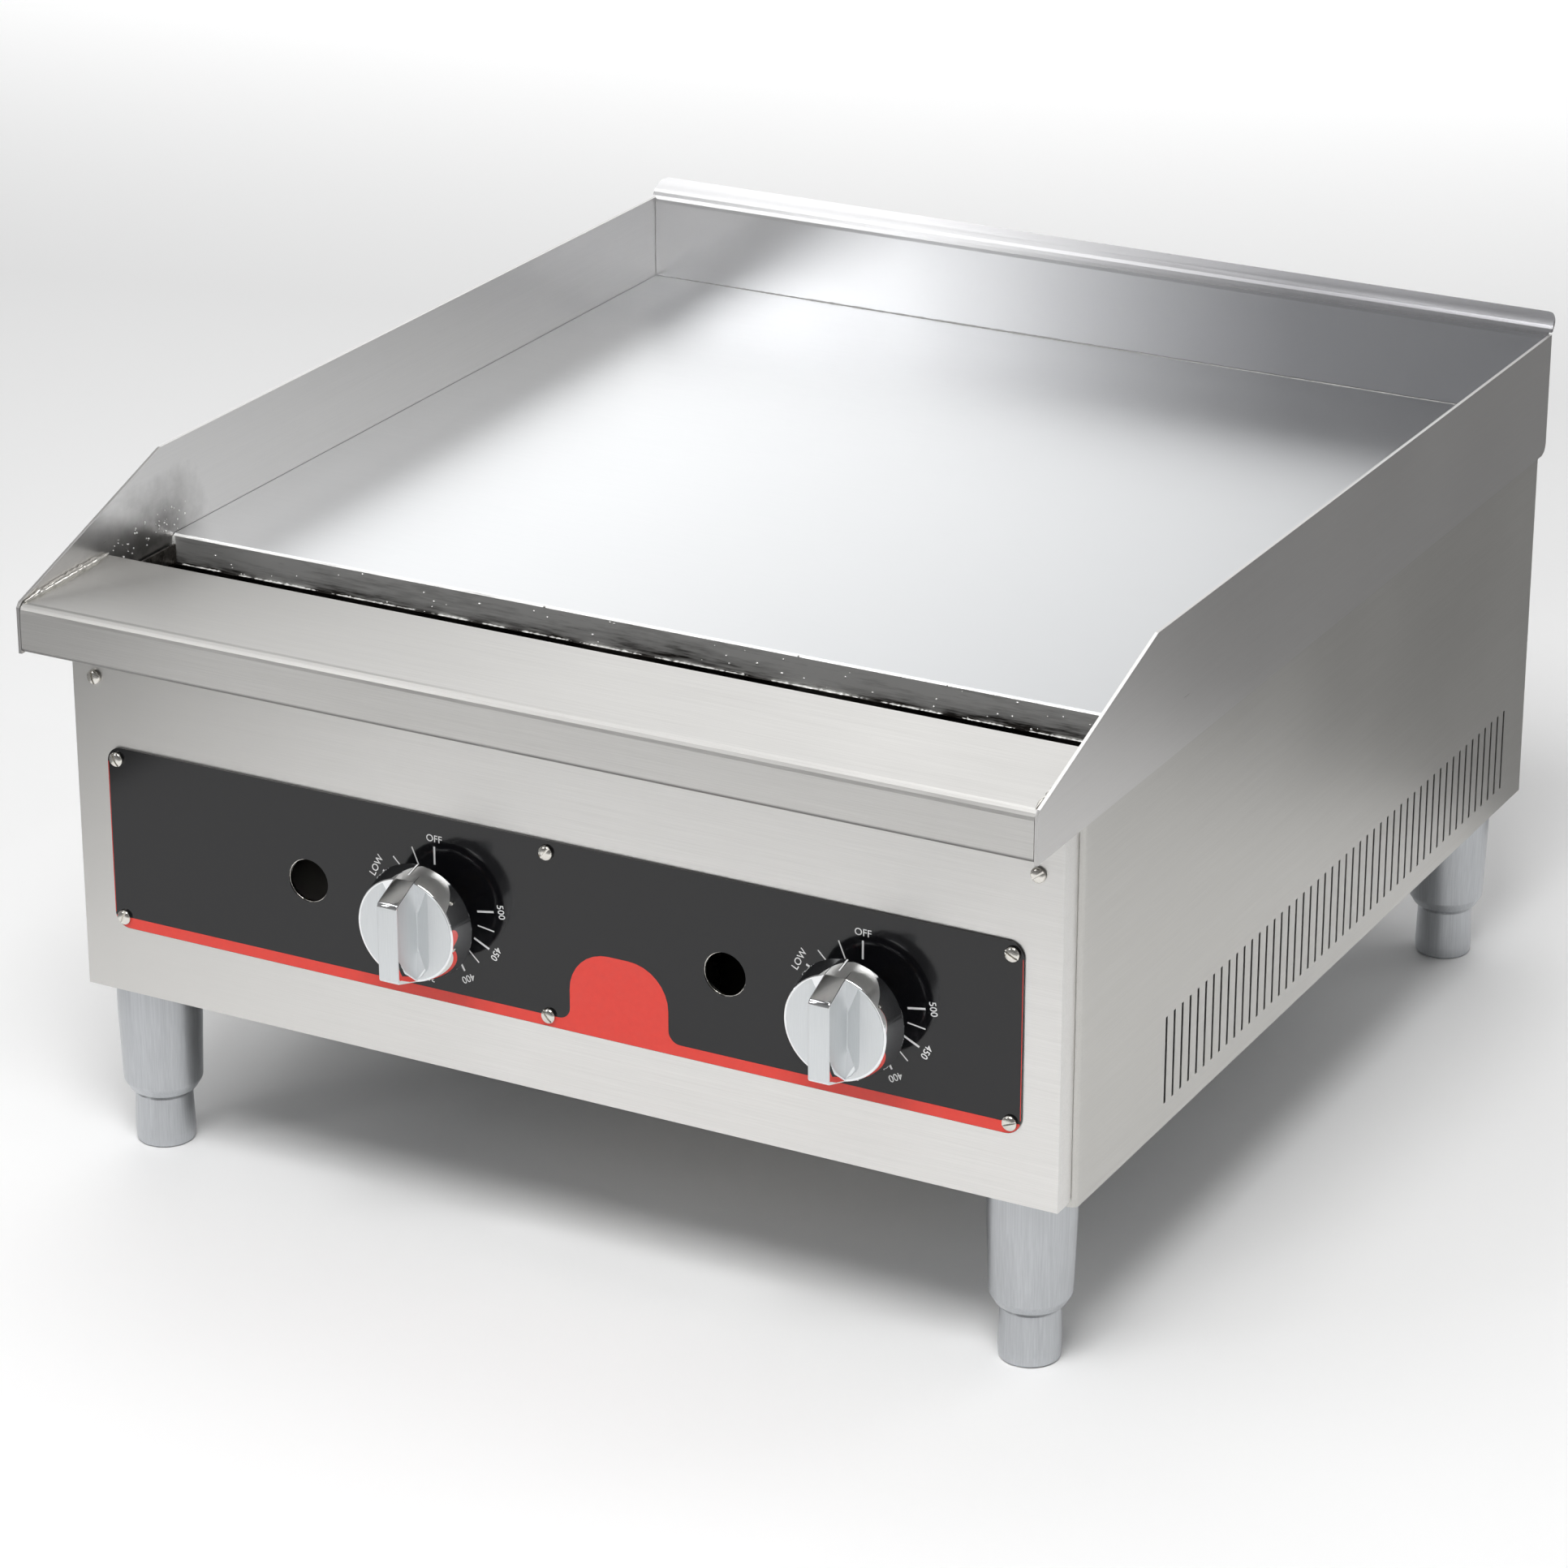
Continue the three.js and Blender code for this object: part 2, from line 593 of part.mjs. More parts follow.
// A U shaped steel tube burner. Its left arm runs forward through the firewall to an open mouth.
function burner(name, x) {
  const mouthY = -228;
  const bendY = 255;
  const armEndY = -150;
  const path = new THREE.CurvePath();
  const point = (dx, y) => new THREE.Vector3(x + dx, y, BURNER_Z);
  path.add(new THREE.LineCurve3(point(-BURNER_ARM, mouthY), point(-BURNER_ARM, bendY)));
  const handle = BURNER_ARM * 1.333;
  path.add(
    new THREE.CubicBezierCurve3(
      point(-BURNER_ARM, bendY),
      point(-BURNER_ARM, bendY + handle),
      point(BURNER_ARM, bendY + handle),
      point(BURNER_ARM, bendY),
    ),
  );
  path.add(new THREE.LineCurve3(point(BURNER_ARM, bendY), point(BURNER_ARM, armEndY)));
  const tube = new THREE.ExtrudeGeometry(circleShape(BURNER_RADIUS, 12), { steps: 26, extrudePath: path });
  const mouth = rodY(x - BURNER_ARM, BURNER_Z, BURNER_RADIUS - 2, [mouthY - 2, mouthY + 60], 12);
  add(name, cut(tube, mouth), "galvanised");
}

function orifice(name, x) {
  const hex = new THREE.CylinderGeometry(8, 8, 12, 6).translate(x, -240, BURNER_Z);
  const spud = rodY(x, BURNER_Z, 3.5, [-234.5, -229], 8);
  add(name, join(hex, spud), "brass");
}

// Gas runs from the back of a thermostat to the orifice of its burner.
function supplyTube(name, knobX, burnerX) {
  const start = [knobX - 10, THERMOSTAT_Y[1] + GAP, 216];
  const end = [burnerX - BURNER_ARM + 8 + GAP, -240, BURNER_Z];
  const corners = [
    start,
    [start[0], -246, 216],
    [start[0] - 30, -240, 225],
    [end[0] + 20, -240, BURNER_Z],
    end,
  ];
  add(name, pipe(corners, 4, 8), "aluminium");
}

function pilotBurner(name, x) {
  const foot = SHIELD_Z + LIGHT_SHEET + GAP;
  const profile = [
    [0, foot],
    [5, foot],
    [5, foot + 26],
    [3, foot + 30],
    [0, foot + 30],
  ];
  add(name, turned(profile, x, -184, 10), "brass");
}

function pilotTube(name, x) {
  const corners = [
    [x, MANIFOLD.y + MANIFOLD.radius + GAP, MANIFOLD.z],
    [x, -238, MANIFOLD.z],
    [x, -222, 193],
    [x, -184 - 5 - GAP, 193],
  ];
  add(name, pipe(corners, 2.5, 9), "aluminium");
}

function thermostat(name, x) {
  const body = slab([x - 24, x + 24], THERMOSTAT_Y, [168, 226]);
  const collar = rodY(x, DIAL_Z, STEM_HOLE_RADIUS - 1.5, [PANEL_FACE_Y - 8, THERMOSTAT_Y[0] + 1]);
  const inlet = rodZ(x, MANIFOLD.y, 8, [MANIFOLD.z + MANIFOLD.radius + GAP, 169], 12);
  const bore = rodY(x, DIAL_Z, STEM_RADIUS + 0.4, [PANEL_FACE_Y - 9, THERMOSTAT_Y[0] + 12], 16);
  const made = solid(body).add(solid(collar)).add(solid(inlet)).subtract(solid(bore));
  add(name, geometryOf(made), "aluminium");
}

function stem(name, x) {
  const y = [PANEL_FACE_Y - KNOB_BACK - 9, THERMOSTAT_Y[0] + 11];
  add(name, rodY(x, DIAL_Z, STEM_RADIUS, y, 16), "brass");
}

// The thermostat's capillary and, joined to its end, the bulb that feels the plate.
function sensingBulb(name, knobX) {
  const x = knobX + 10;
  const bulbZ = PLATE_TOP_Z - PLATE_THICKNESS - 6;
  const corners = [
    [x, THERMOSTAT_Y[1] + GAP, 220],
    [x, -240, 222],
    [x, -218, 250],
    [x, -170, 250],
    [x, -140, bulbZ],
    [x, -60, bulbZ],
  ];
  const capillary = pipe(corners, 1.6, 8, 6);
  const bulb = rodY(x, bulbZ, 4.5, [-62, 40], 10);
  add(name, join(capillary, bulb), "screw");
}

function manifold() {
  add("gas_manifold", rodX([-205, SUPPLY_X + 14], MANIFOLD.y, MANIFOLD.z, MANIFOLD.radius, 16), "iron");
}

function supplyLine() {
  const pipeRange = [MANIFOLD.y + MANIFOLD.radius + GAP, 229.7];
  add("gas_supply_pipe", rodY(SUPPLY_X, MANIFOLD.z, 10.5, pipeRange, 14), "iron");
  const bowl = rodZ(SUPPLY_X, 262, 25, [134, 176], 20);
  const port = rodY(SUPPLY_X, MANIFOLD.z, 14, [230, 294], 8);
  const nipple = rodY(SUPPLY_X, MANIFOLD.z, 13, [293, BACK_Y - 2], 14);
  const bore = rodY(SUPPLY_X, MANIFOLD.z, 9, [320, BACK_Y], 14);
  const regulator = solid(bowl).add(solid(port)).add(solid(nipple)).subtract(solid(bore));
  add("pressure_regulator", geometryOf(regulator), "aluminium");
}

// ---- Knobs ----

function knob(name, x) {
  const skirt = turnedForward(
    [
      [0, KNOB_BACK],
      [KNOB_BACK_RADIUS - 0.6, KNOB_BACK],
      [KNOB_BACK_RADIUS, KNOB_BACK + 0.8],
      [KNOB_FACE_RADIUS, KNOB_FACE - 0.6],
      [KNOB_FACE_RADIUS - 0.7, KNOB_FACE],
      [0, KNOB_FACE],
    ],
    x,
    DIAL_Z,
    40,
  );
  const y = (depth) => PANEL_FACE_Y - depth;
  const backY = y(KNOB_BACK + 0.8);
  const frontY = y(KNOB_FRONT);
  const ramp = polygon([
    [backY, DIAL_Z - KNOB_BACK_RADIUS + 1],
    [backY, DIAL_Z + KNOB_BACK_RADIUS - 1],
    [frontY + 2, DIAL_Z + 21.5],
    [frontY, DIAL_Z + 19.5],
    [frontY, DIAL_Z - 21.5],
    [frontY + 2, DIAL_Z - 23.5],
  ]);
  const grip = alongX(ramp, [x - 6.3, x + 6.3]);
  const groove = (side) => {
    const near = x + side * 6.3;
    const far = x + side * 14.6;
    const wedge = [
      [near, y(KNOB_FACE + 1)],
      [near, y(KNOB_FACE - 1.6)],
      [far, y(KNOB_FACE)],
      [far, y(KNOB_FACE + 1)],
    ];
    const shape = polygon(side > 0 ? wedge : wedge.reverse());
    return extrude(shape, 80).translate(0, 0, DIAL_Z - 40);
  };
  const bore = rodY(x, DIAL_Z, STEM_RADIUS + 0.4, [y(KNOB_BACK + 10), y(KNOB_BACK - 1)], 16);
  const body = solid(skirt).subtract(solid(groove(1))).subtract(solid(groove(-1)));
  add(name, geometryOf(body.add(solid(grip)).subtract(solid(bore))), "chrome");
}

// ---- Legs ----

function leg(name, x, y) {
  const top = LEG_HEIGHT - GAP;
  const shoulder = FOOT_HEIGHT + GAP;
  const profile = [
    [9.6, shoulder],
    [LEG_RADIUS - 6.5, shoulder],
    [LEG_RADIUS - 3, shoulder + 1.6],
    [LEG_RADIUS - 1.3, shoulder + 6],
    [LEG_RADIUS, top - 12],
    [LEG_RADIUS, top],
    [0, top],
    [0, top - 8],
    [9.6, top - 8],
    [9.6, shoulder],
  ];
  add(name, turned(profile, x, y, 20), "leg");
}

function foot(name, x, y) {
  const profile = [
    [0, 0],
    [FOOT_RADIUS - 1, 0],
    [FOOT_RADIUS, 1],
    [FOOT_RADIUS, FOOT_HEIGHT],
    [9.2, FOOT_HEIGHT],
    [9.2, 80],
    [0, 80],
  ];
  add(name, turned(profile, x, y, 20), "leg");
}

// ---- Assembly ----

griddlePlate();
sideGuard("left_splash_guard", -1);
sideGuard("right_splash_guard", 1);
backGuard();
frontLedge();
greaseTrough();
greaseChute();
greaseTray();
trayRail("left_tray_rail", -1);
trayRail("right_tray_rail", 1);
controlPanel();
controlOverlay();
screws();
sidePanel("left_side_panel", -1);
sidePanel("right_side_panel", 1);
rearPanel();
legRail("left_leg_rail", -1);
legRail("right_leg_rail", 1);
crossRail("front_cross_rail", [-285, -250]);
crossRail("rear_cross_rail", [300, 335]);
firewall();
heatShield();
plateSupport("left_plate_support", -1);
plateSupport("right_plate_support", 1);
manifold();
supplyLine();
["left", "right"].forEach((hand, i) => {
  burner(hand + "_burner", BURNER_X[i]);
  orifice(hand + "_burner_orifice", BURNER_X[i] - BURNER_ARM);
  supplyTube(hand + "_burner_supply_tube", KNOB_X[i], BURNER_X[i]);
  pilotBurner(hand + "_pilot_burner", LIGHTER_X[i]);
  pilotTube(hand + "_pilot_tube", LIGHTER_X[i]);
  thermostat(hand + "_thermostat", KNOB_X[i]);
  stem(hand + "_thermostat_stem", KNOB_X[i]);
  sensingBulb(hand + "_sensing_bulb", KNOB_X[i]);
  knob(hand + "_knob", KNOB_X[i]);
  ["front", "rear"].forEach((end, j) => {
    const x = hand === "left" ? -LEG_X : LEG_X;
    leg(end + "_" + hand + "_leg", x, LEG_Y[j]);
    foot(end + "_" + hand + "_foot", x, LEG_Y[j]);
  });
});

export default griddle;
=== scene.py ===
"""A countertop gas griddle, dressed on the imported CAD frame. Metres, +Z up, the front faces -Y.

The CAD nodes keep their shape and get their finishes here. The knobs, legs, feet and screw heads
are made finer in place of their plain nodes, and print, beads and spatter are added to the sheets.
"""

import math
import random

import bmesh
import bpy
from mathutils import Matrix, Vector


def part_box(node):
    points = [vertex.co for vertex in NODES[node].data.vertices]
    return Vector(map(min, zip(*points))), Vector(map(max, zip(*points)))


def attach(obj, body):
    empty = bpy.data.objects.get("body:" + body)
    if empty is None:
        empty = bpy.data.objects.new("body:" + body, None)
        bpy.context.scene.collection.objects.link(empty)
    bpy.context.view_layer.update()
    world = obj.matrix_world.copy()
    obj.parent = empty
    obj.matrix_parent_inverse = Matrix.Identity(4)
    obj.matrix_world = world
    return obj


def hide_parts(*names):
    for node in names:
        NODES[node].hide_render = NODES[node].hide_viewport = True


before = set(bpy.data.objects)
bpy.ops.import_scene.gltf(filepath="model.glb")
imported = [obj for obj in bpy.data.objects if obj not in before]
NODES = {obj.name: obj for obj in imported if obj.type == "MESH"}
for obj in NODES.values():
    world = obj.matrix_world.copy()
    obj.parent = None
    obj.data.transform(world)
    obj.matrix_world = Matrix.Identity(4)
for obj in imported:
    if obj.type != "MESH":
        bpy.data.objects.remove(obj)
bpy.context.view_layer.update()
MM = 0.001

SIDES = ("left", "right")
CORNERS = ("front_left", "rear_left", "front_right", "rear_right")


def low(node):
    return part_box(node)[0]


def high(node):
    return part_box(node)[1]


def middle(node):
    return (low(node) + high(node)) / 2


# ---- Camera, floor and lights ----

CAMERA_AT = (1.33175, -2.53172, 1.36362)
CAMERA_TURN = (math.radians(67.31), 0, math.radians(28.16))
CAMERA_LENS = 122.98
SENSOR_WIDTH = 36
FLOOR_HALF = 9
FLOOR_Z = -0.0002
LIT_POINT = (0, 0, 0.2)

# Each lamp: where it stands, where it points, its size in metres and its power in watts.
LAMPS = {
    "key": ((0.45, -1.6, 2.7), (0.15, -0.5, 0), (1.4, 1.2), 63),
    "top": ((-0.7, 0.9, 3.1), (-0.1, 0.5, 0), (2.0, 2.0), 20),
    # This one faces away from the griddle and lights the floor behind it.
    "backdrop": ((-1.2, 2.6, 2.6), (-2.2, 7.0, 0), (5.0, 1.2), 150),
}
# Each softbox points at LIT_POINT: azimuth, elevation, distance, size and radiance.
SOFTBOXES = {
    "left_front": (146.2, 24, 4.0, (0.60, 1.3), 3.6),
    "left_high": (128, 54, 3.4, (1.5, 1.1), 1.7),
    "back_left": (32, 18, 4.0, (2.3, 1.9), 0.81),
    "back_right": (-38, 36, 3.4, (1.3, 1.0), 1.6),
}
# Each card is a rectangle on the floor: x from and to, y from and to.
CARDS = {
    "rear_card": (0.33, 3.2, 0.50, 4.0),
    "left_card": (-3.0, -0.60, -3.5, 0.2),
    "front_card": (-0.60, 2.0, -3.5, -1.06),
}
CARD_Z = 0.002


def add_object(name, data):
    made = bpy.data.objects.new(name, data)
    bpy.context.scene.collection.objects.link(made)
    return made


def make_camera():
    data = bpy.data.cameras.new("camera")
    data.lens = CAMERA_LENS
    data.sensor_width = SENSOR_WIDTH
    data.clip_end = 50
    camera = add_object("camera", data)
    camera.location = CAMERA_AT
    camera.rotation_euler = CAMERA_TURN
    bpy.context.scene.camera = camera


def make_floor():
    bm = bmesh.new()
    bmesh.ops.create_grid(bm, x_segments=1, y_segments=1, size=FLOOR_HALF)
    mesh = bpy.data.meshes.new("floor")
    bm.to_mesh(mesh)
    bm.free()
    floor = add_object("floor", mesh)
    floor.location.z = FLOOR_Z
    mesh.materials.append(floor_material())


def area_light(name, at, aim, size, power):
    data = bpy.data.lights.new(name, "AREA")
    data.shape = "RECTANGLE"
    data.size, data.size_y = size
    data.energy = power
    lamp = add_object(name, data)
    lamp.location = at
    lamp.rotation_euler = (Vector(aim) - Vector(at)).to_track_quat("-Z", "Y").to_euler()


def toward(azimuth, elevation, distance):
    """A point seen from LIT_POINT at azimuth degrees anticlockwise from +Y and elevation degrees up."""
    turn, rise = math.radians(azimuth), math.radians(elevation)
    flat = math.cos(rise)
    away = Vector((-math.sin(turn) * flat, math.cos(turn) * flat, math.sin(rise)))
    return Vector(LIT_POINT) + away * distance


def make_sky():
    """Plain surroundings: brighter low behind the griddle, dim in front of it and overhead."""
    world = bpy.data.worlds.new("studio")
    bpy.context.scene.world = world
    world.use_nodes = True
    tree = world.node_tree
    tree.nodes.clear()
    build = Build(tree)
    coords = tree.nodes.new("ShaderNodeTexCoord").outputs["Generated"]
    split = build.new("ShaderNodeSeparateXYZ", Vector=coords)
    around = build.ramp(
        build.math("MULTIPLY_ADD", split.outputs["Y"], 0.5, 0.5),
        [(0.0, 0.18), (0.2, 0.24), (0.5, 0.42), (0.9, 0.52)],
    )
    overhead = build.ramp(split.outputs["Z"], [(0.45, 1.0), (0.75, 0.45)])
    sky = build.new("ShaderNodeBackground", Color=build.mix(1.0, around, overhead, "MULTIPLY"))
    out = tree.nodes.new("ShaderNodeOutputWorld")
    tree.links.new(sky.outputs[0], out.inputs["Surface"])


def make_lights():
    make_sky()
    for name, (at, aim, size, power) in LAMPS.items():
        area_light(name, at, aim, size, power)
    for name, (azimuth, elevation, distance, size, radiance) in SOFTBOXES.items():
        at = toward(azimuth, elevation, distance)
        area_light(name, at, LIT_POINT, size, radiance * math.pi * size[0] * size[1])
    bpy.context.scene.view_settings.view_transform = "Standard"


def dim_cards():
    """Dim cards on the floor that only the metal faces see, as studio flags are used."""
    paper, build, shader, coords = material("card_paper", 0.9, 0)
    tone = build.mix(build.noise(coords, 2), (0.24, 0.24, 0.24), (0.30, 0.30, 0.30))
    build.put(shader.inputs["Base Color"], tone)
    for name, (x0, x1, y0, y1) in CARDS.items():
        bm = bmesh.new()
        corners = ((x0, y0), (x1, y0), (x1, y1), (x0, y1))
        bm.faces.new([bm.verts.new((x, y, CARD_Z)) for x, y in corners])
        mesh = bpy.data.meshes.new(name)
        bm.to_mesh(mesh)
        bm.free()
        mesh.materials.append(paper)
        card = add_object(name, mesh)
        card.visible_camera = False
        card.visible_shadow = False
        card.visible_diffuse = False


# ---- Shader building ----


class Build:
    """Short calls for making nodes in one tree."""

    def __init__(self, tree):
        self.tree = tree

    def new(self, kind, **inputs):
        node = self.tree.nodes.new(kind)
        for name, value in inputs.items():
            self.put(node.inputs[name.replace("_", " ")], value)
        return node

    def put(self, socket, value):
        if isinstance(value, bpy.types.NodeSocket):
            self.tree.links.new(value, socket)
        elif isinstance(value, bpy.types.Node):
            self.tree.links.new(value.outputs[0], socket)
        elif isinstance(value, (tuple, list)) and socket.type == "RGBA" and len(value) == 3:
            socket.default_value = (*value, 1)
        else:
            socket.default_value = value

    def math(self, operation, *values, clamp=False):
        node = self.tree.nodes.new("ShaderNodeMath")
        node.operation = operation
        node.use_clamp = clamp
        for socket, value in zip(node.inputs, values):
            self.put(socket, value)
        return node.outputs[0]

    def vector(self, operation, value, constant):
        node = self.new("ShaderNodeVectorMath", Vector=value)
        node.operation = operation
        node.inputs[1].default_value = constant
        return node.outputs[0]

    def ramp(self, fac, stops):
        node = self.tree.nodes.new("ShaderNodeValToRGB")
        self.put(node.inputs[0], fac)
        elements = node.color_ramp.elements
        while len(elements) < len(stops):
            elements.new(0.5)
        for element, (at, color) in zip(elements, stops):
            element.position = at
            element.color = (*color, 1) if isinstance(color, tuple) else (color, color, color, 1)
        return node.outputs[0]

    def mix(self, fac, a, b, blend="MIX"):
        node = self.tree.nodes.new("ShaderNodeMix")
        node.data_type = "RGBA"
        node.blend_type = blend
        self.put(node.inputs[0], fac)
        self.put(node.inputs[6], a)
        self.put(node.inputs[7], b)
        return node.outputs[2]

    def noise(self, coords, scale, detail=2.0, rough=0.5, stretch=(1, 1, 1)):
        mapping = self.new("ShaderNodeMapping", Vector=coords, Scale=stretch)
        node = self.new("ShaderNodeTexNoise", Vector=mapping, Scale=scale, Detail=detail, Roughness=rough)
        return node.outputs[0]


def material(name, rough=0.4, metal=1.0, **constants):
    """A new material with its Build, its shader and its object coordinates.

    Constants are set on the shader's own sockets.
    """
    made = bpy.data.materials.new(name)
    made.use_nodes = True
    tree = made.node_tree
    tree.nodes.clear()
    build = Build(tree)
    shader = build.new("ShaderNodeBsdfPrincipled", Roughness=rough, Metallic=metal)
    for socket, value in constants.items():
        build.put(shader.inputs[socket.replace("_", " ")], value)
    out = tree.nodes.new("ShaderNodeOutputMaterial")
    tree.links.new(shader.outputs[0], out.inputs["Surface"])
    coords = tree.nodes.new("ShaderNodeTexCoord").outputs["Object"]
    return made, build, shader, coords


def bump(build, shader, height, strength, distance):
    node = build.new("ShaderNodeBump", Height=height, Strength=strength, Distance=distance)
    build.put(shader.inputs["Normal"], node)


def along(axis, length, across):
    """Mapping scale for streaks that run along one axis."""
    return tuple(length if a == axis else across for a in "XYZ")


def swing(build, noise, weight, base, clamp=False):
    """A base value that a noise moves up and down."""
    centred = build.math("SUBTRACT", noise, 0.5)
    return build.math("MULTIPLY_ADD", centred, weight, base, clamp=clamp)


def brushed(name, axis, light, dark, rough=0.3, streak=1.0, cloud=1.0, lying=False):
    """Steel brushed along an axis. Highlights spread across the brushing.

    streak and cloud weigh its fine and its broad variation; lying is for a face that looks up.
    """
    turn = 0.0 if lying else 0.25
    made, build, shader, coords = material(name, Anisotropic=0.6, Anisotropic_Rotation=turn)
    tangent = build.tree.nodes.new("ShaderNodeTangent")
    tangent.direction_type = "RADIAL"
    tangent.axis = "X" if lying else "Z"
    build.put(shader.inputs["Tangent"], tangent)
    fine = build.noise(coords, 1, 2, 0.6, along(axis, 18, 1500))
    broad = build.noise(coords, 1, 2, 0.5, along(axis, 5, 260))
    cloudy = build.noise(coords, 7, 3, 0.5)
    mixed = swing(build, fine, 1.1 * streak, 0.5)
    mixed = swing(build, broad, 0.4 * streak, mixed)
    mixed = swing(build, cloudy, 0.7 * cloud, mixed, clamp=True)
    build.put(shader.inputs["Base Color"], build.mix(mixed, dark, light))
    spread = swing(build, fine, 0.10 * streak, rough)
    spread = swing(build, cloudy, 0.14 * cloud, spread)
    build.put(shader.inputs["Roughness"], spread)
    bump(build, shader, fine, 0.05 * streak, 0.0002)
    return made


class Topcoat:
    """Opens a finished material again, to lay another colour over the one it has: painted shade on some
    sheets, burnt stains on the guards.
    """

    def __init__(self, made):
        self.build = Build(made.node_tree)
        shader = next(n for n in made.node_tree.nodes if n.type == "BSDF_PRINCIPLED")
        self.socket = shader.inputs["Base Color"]
        self.before = self.socket.links[0].from_socket
        self.coords = made.node_tree.nodes.new("ShaderNodeTexCoord").outputs["Object"]
        self.place = self.build.new("ShaderNodeSeparateXYZ", Vector=self.coords).outputs

    def ramp_up(self, value, start, reach):
        """0 up to start, and 1 from reach beyond it."""
        return self.build.math("DIVIDE", self.build.math("SUBTRACT", value, start), reach, clamp=True)

    def lay(self, share, color):
        self.build.put(self.socket, self.build.mix(share, self.before, color))


# Painted shade for the lower edge of the ledge's lip.
PAINTED_SHADE_UNDER_LIP = (0.22, 0.215, 0.21)
BURNT = (0.10, 0.095, 0.09)
BURNT_SPOT = (0.303, -0.225, 0.338)
BURNT_REACH = (0.02, 0.060, 0.034)
# Inside the sheet of the guards, so that only their inner faces are burnt.
GUARD_SHEET_X = low("right_splash_guard").x + 0.6 * MM
LIP_TURN_Z, UNDER_FADE = low("front_ledge").z + 1.7 * MM, 1.2 * MM
LEDGE_BEND_Z, BEND_FADE = 338 * MM, 6 * MM


def darker_under(made, level):
    """Paints shade into a material under a level, where the sheet turns under: painted shade along the
    lip's lower edge.
    """
    over = Topcoat(made)
    under = over.build.math("SUBTRACT", 1.0, over.ramp_up(over.place["Z"], level, UNDER_FADE))
    over.lay(under, PAINTED_SHADE_UNDER_LIP)


def duller(made, from_x, to_x, color, above=-1.0):
    """Paints shade into a metal's colour: fades it into a darker one between two places along X, above a
    level.
    """
    over = Topcoat(made)
    share = over.ramp_up(over.place["X"], from_x, to_x - from_x)
    share = over.build.math("MULTIPLY", share, over.ramp_up(over.place["Z"], above, BEND_FADE))
    over.lay(share, color)


def burnt_inside(made):
    """Burnt grease round a spot on the inner face of each guard, beside the trough."""
    over = Topcoat(made)
    build = over.build
    aside = build.math("ABSOLUTE", over.place["X"])
    mirrored = build.new("ShaderNodeCombineXYZ", X=aside, Y=over.place["Y"], Z=over.place["Z"])
    away = build.vector("DIVIDE", build.vector("SUBTRACT", mirrored, BURNT_SPOT), BURNT_REACH)
    distance = build.new("ShaderNodeVectorMath", Vector=away)
    distance.operation = "LENGTH"
    mottle = build.noise(over.coords, 38, 4, 0.6)
    ragged = build.math("MULTIPLY_ADD", mottle, 0.9, distance.outputs["Value"])
    fade = build.ramp(build.math("MULTIPLY", ragged, 0.62), [(0.38, 0.85), (0.68, 0.35), (0.95, 0.0)])
    fade = build.math("MULTIPLY", fade, build.math("LESS_THAN", aside, GUARD_SHEET_X))
    over.lay(fade, BURNT)


def floor_material():
    made, build, shader, coords = material("floor_paper", 0.7, 0)
    tone = build.noise(coords, 1.2, 3)
    build.put(shader.inputs["Base Color"], build.mix(tone, (0.94, 0.94, 0.94), (0.96, 0.96, 0.96)))
    return made


# The burnt front edge of the plate, from clean to charred.
EDGE_SHADES = [
    (0.0, (0.95, 0.95, 0.94)),
    (0.5, (0.70, 0.70, 0.69)),
    (0.85, (0.28, 0.275, 0.27)),
    (1.0, (0.06, 0.055, 0.05)),
]
PLATE_THICKNESS = high("griddle_plate").z - low("griddle_plate").z


def plate_material():
    """Ground steel with painted shade towards the right, where its highlight falls off, and a burnt and
    greasy front edge.
    """
    made, build, shader, coords = material("ground_plate")
    split = build.new("ShaderNodeSeparateXYZ", Vector=coords)
    fine = build.noise(coords, 1, 3, 0.6, along("X", 30, 900))
    cloudy = build.noise(coords, 5, 4, 0.55)
    mixed = swing(build, cloudy, 0.8, fine, clamp=True)
    top = build.mix(mixed, (0.865, 0.88, 0.895), (0.925, 0.935, 0.945))
    # Painted shade: the top grows darker towards the right.
    painted_shade_right = build.math("MULTIPLY_ADD", split.outputs["X"], 2.0, 0.4, clamp=True)
    top = build.mix(painted_shade_right, top, (0.60, 0.61, 0.62))
    front = build.math("LESS_THAN", split.outputs["Y"], low("griddle_plate").y + 0.8 * MM)
    smear = build.noise(coords, 1, 4, 0.65, (14, 1, 90))
    scratch = build.noise(coords, 1, 3, 0.7, (45, 1, 650))
    depth = build.math("SUBTRACT", high("griddle_plate").z, split.outputs["Z"])
    drop = build.math("DIVIDE", depth, PLATE_THICKNESS)
    burnt = swing(build, smear, 2.4, build.math("MULTIPLY", drop, drop))
    burnt = swing(build, scratch, 1.5, burnt)
    build.put(shader.inputs["Base Color"], build.mix(front, top, build.ramp(burnt, EDGE_SHADES)))
    spread = swing(build, fine, 0.06, 0.30)
    build.put(shader.inputs["Roughness"], build.math("MULTIPLY_ADD", front, 0.25, spread))
    bump(build, shader, fine, 0.04, 0.0002)
    return made


GREASE_SHADES = [(0.35, (0.035, 0.03, 0.027)), (0.55, (0.12, 0.11, 0.10)), (0.75, (0.34, 0.33, 0.31))]


def grease_material():
    made, build, shader, coords = material("greasy_steel")
    smear = build.noise(coords, 1, 4, 0.6, (22, 60, 60))
    build.put(shader.inputs["Base Color"], build.ramp(smear, GREASE_SHADES))
    build.put(shader.inputs["Roughness"], build.math("MULTIPLY_ADD", smear, 0.3, 0.12))
    bump(build, shader, smear, 0.4, 0.0006)
    return made


def mottled(name, light, dark, rough, metal, scale, depth):
    """A finish with a fine mottled grain."""
    made, build, shader, coords = material(name, rough, metal)
    grain = build.noise(coords, scale, 4, 0.6)
    build.put(shader.inputs["Base Color"], build.mix(grain, dark, light))
    build.put(shader.inputs["Roughness"], swing(build, grain, 0.5 * rough, rough))
    bump(build, shader, build.noise(coords, scale * 12, 2), depth, 0.0002)
    return made


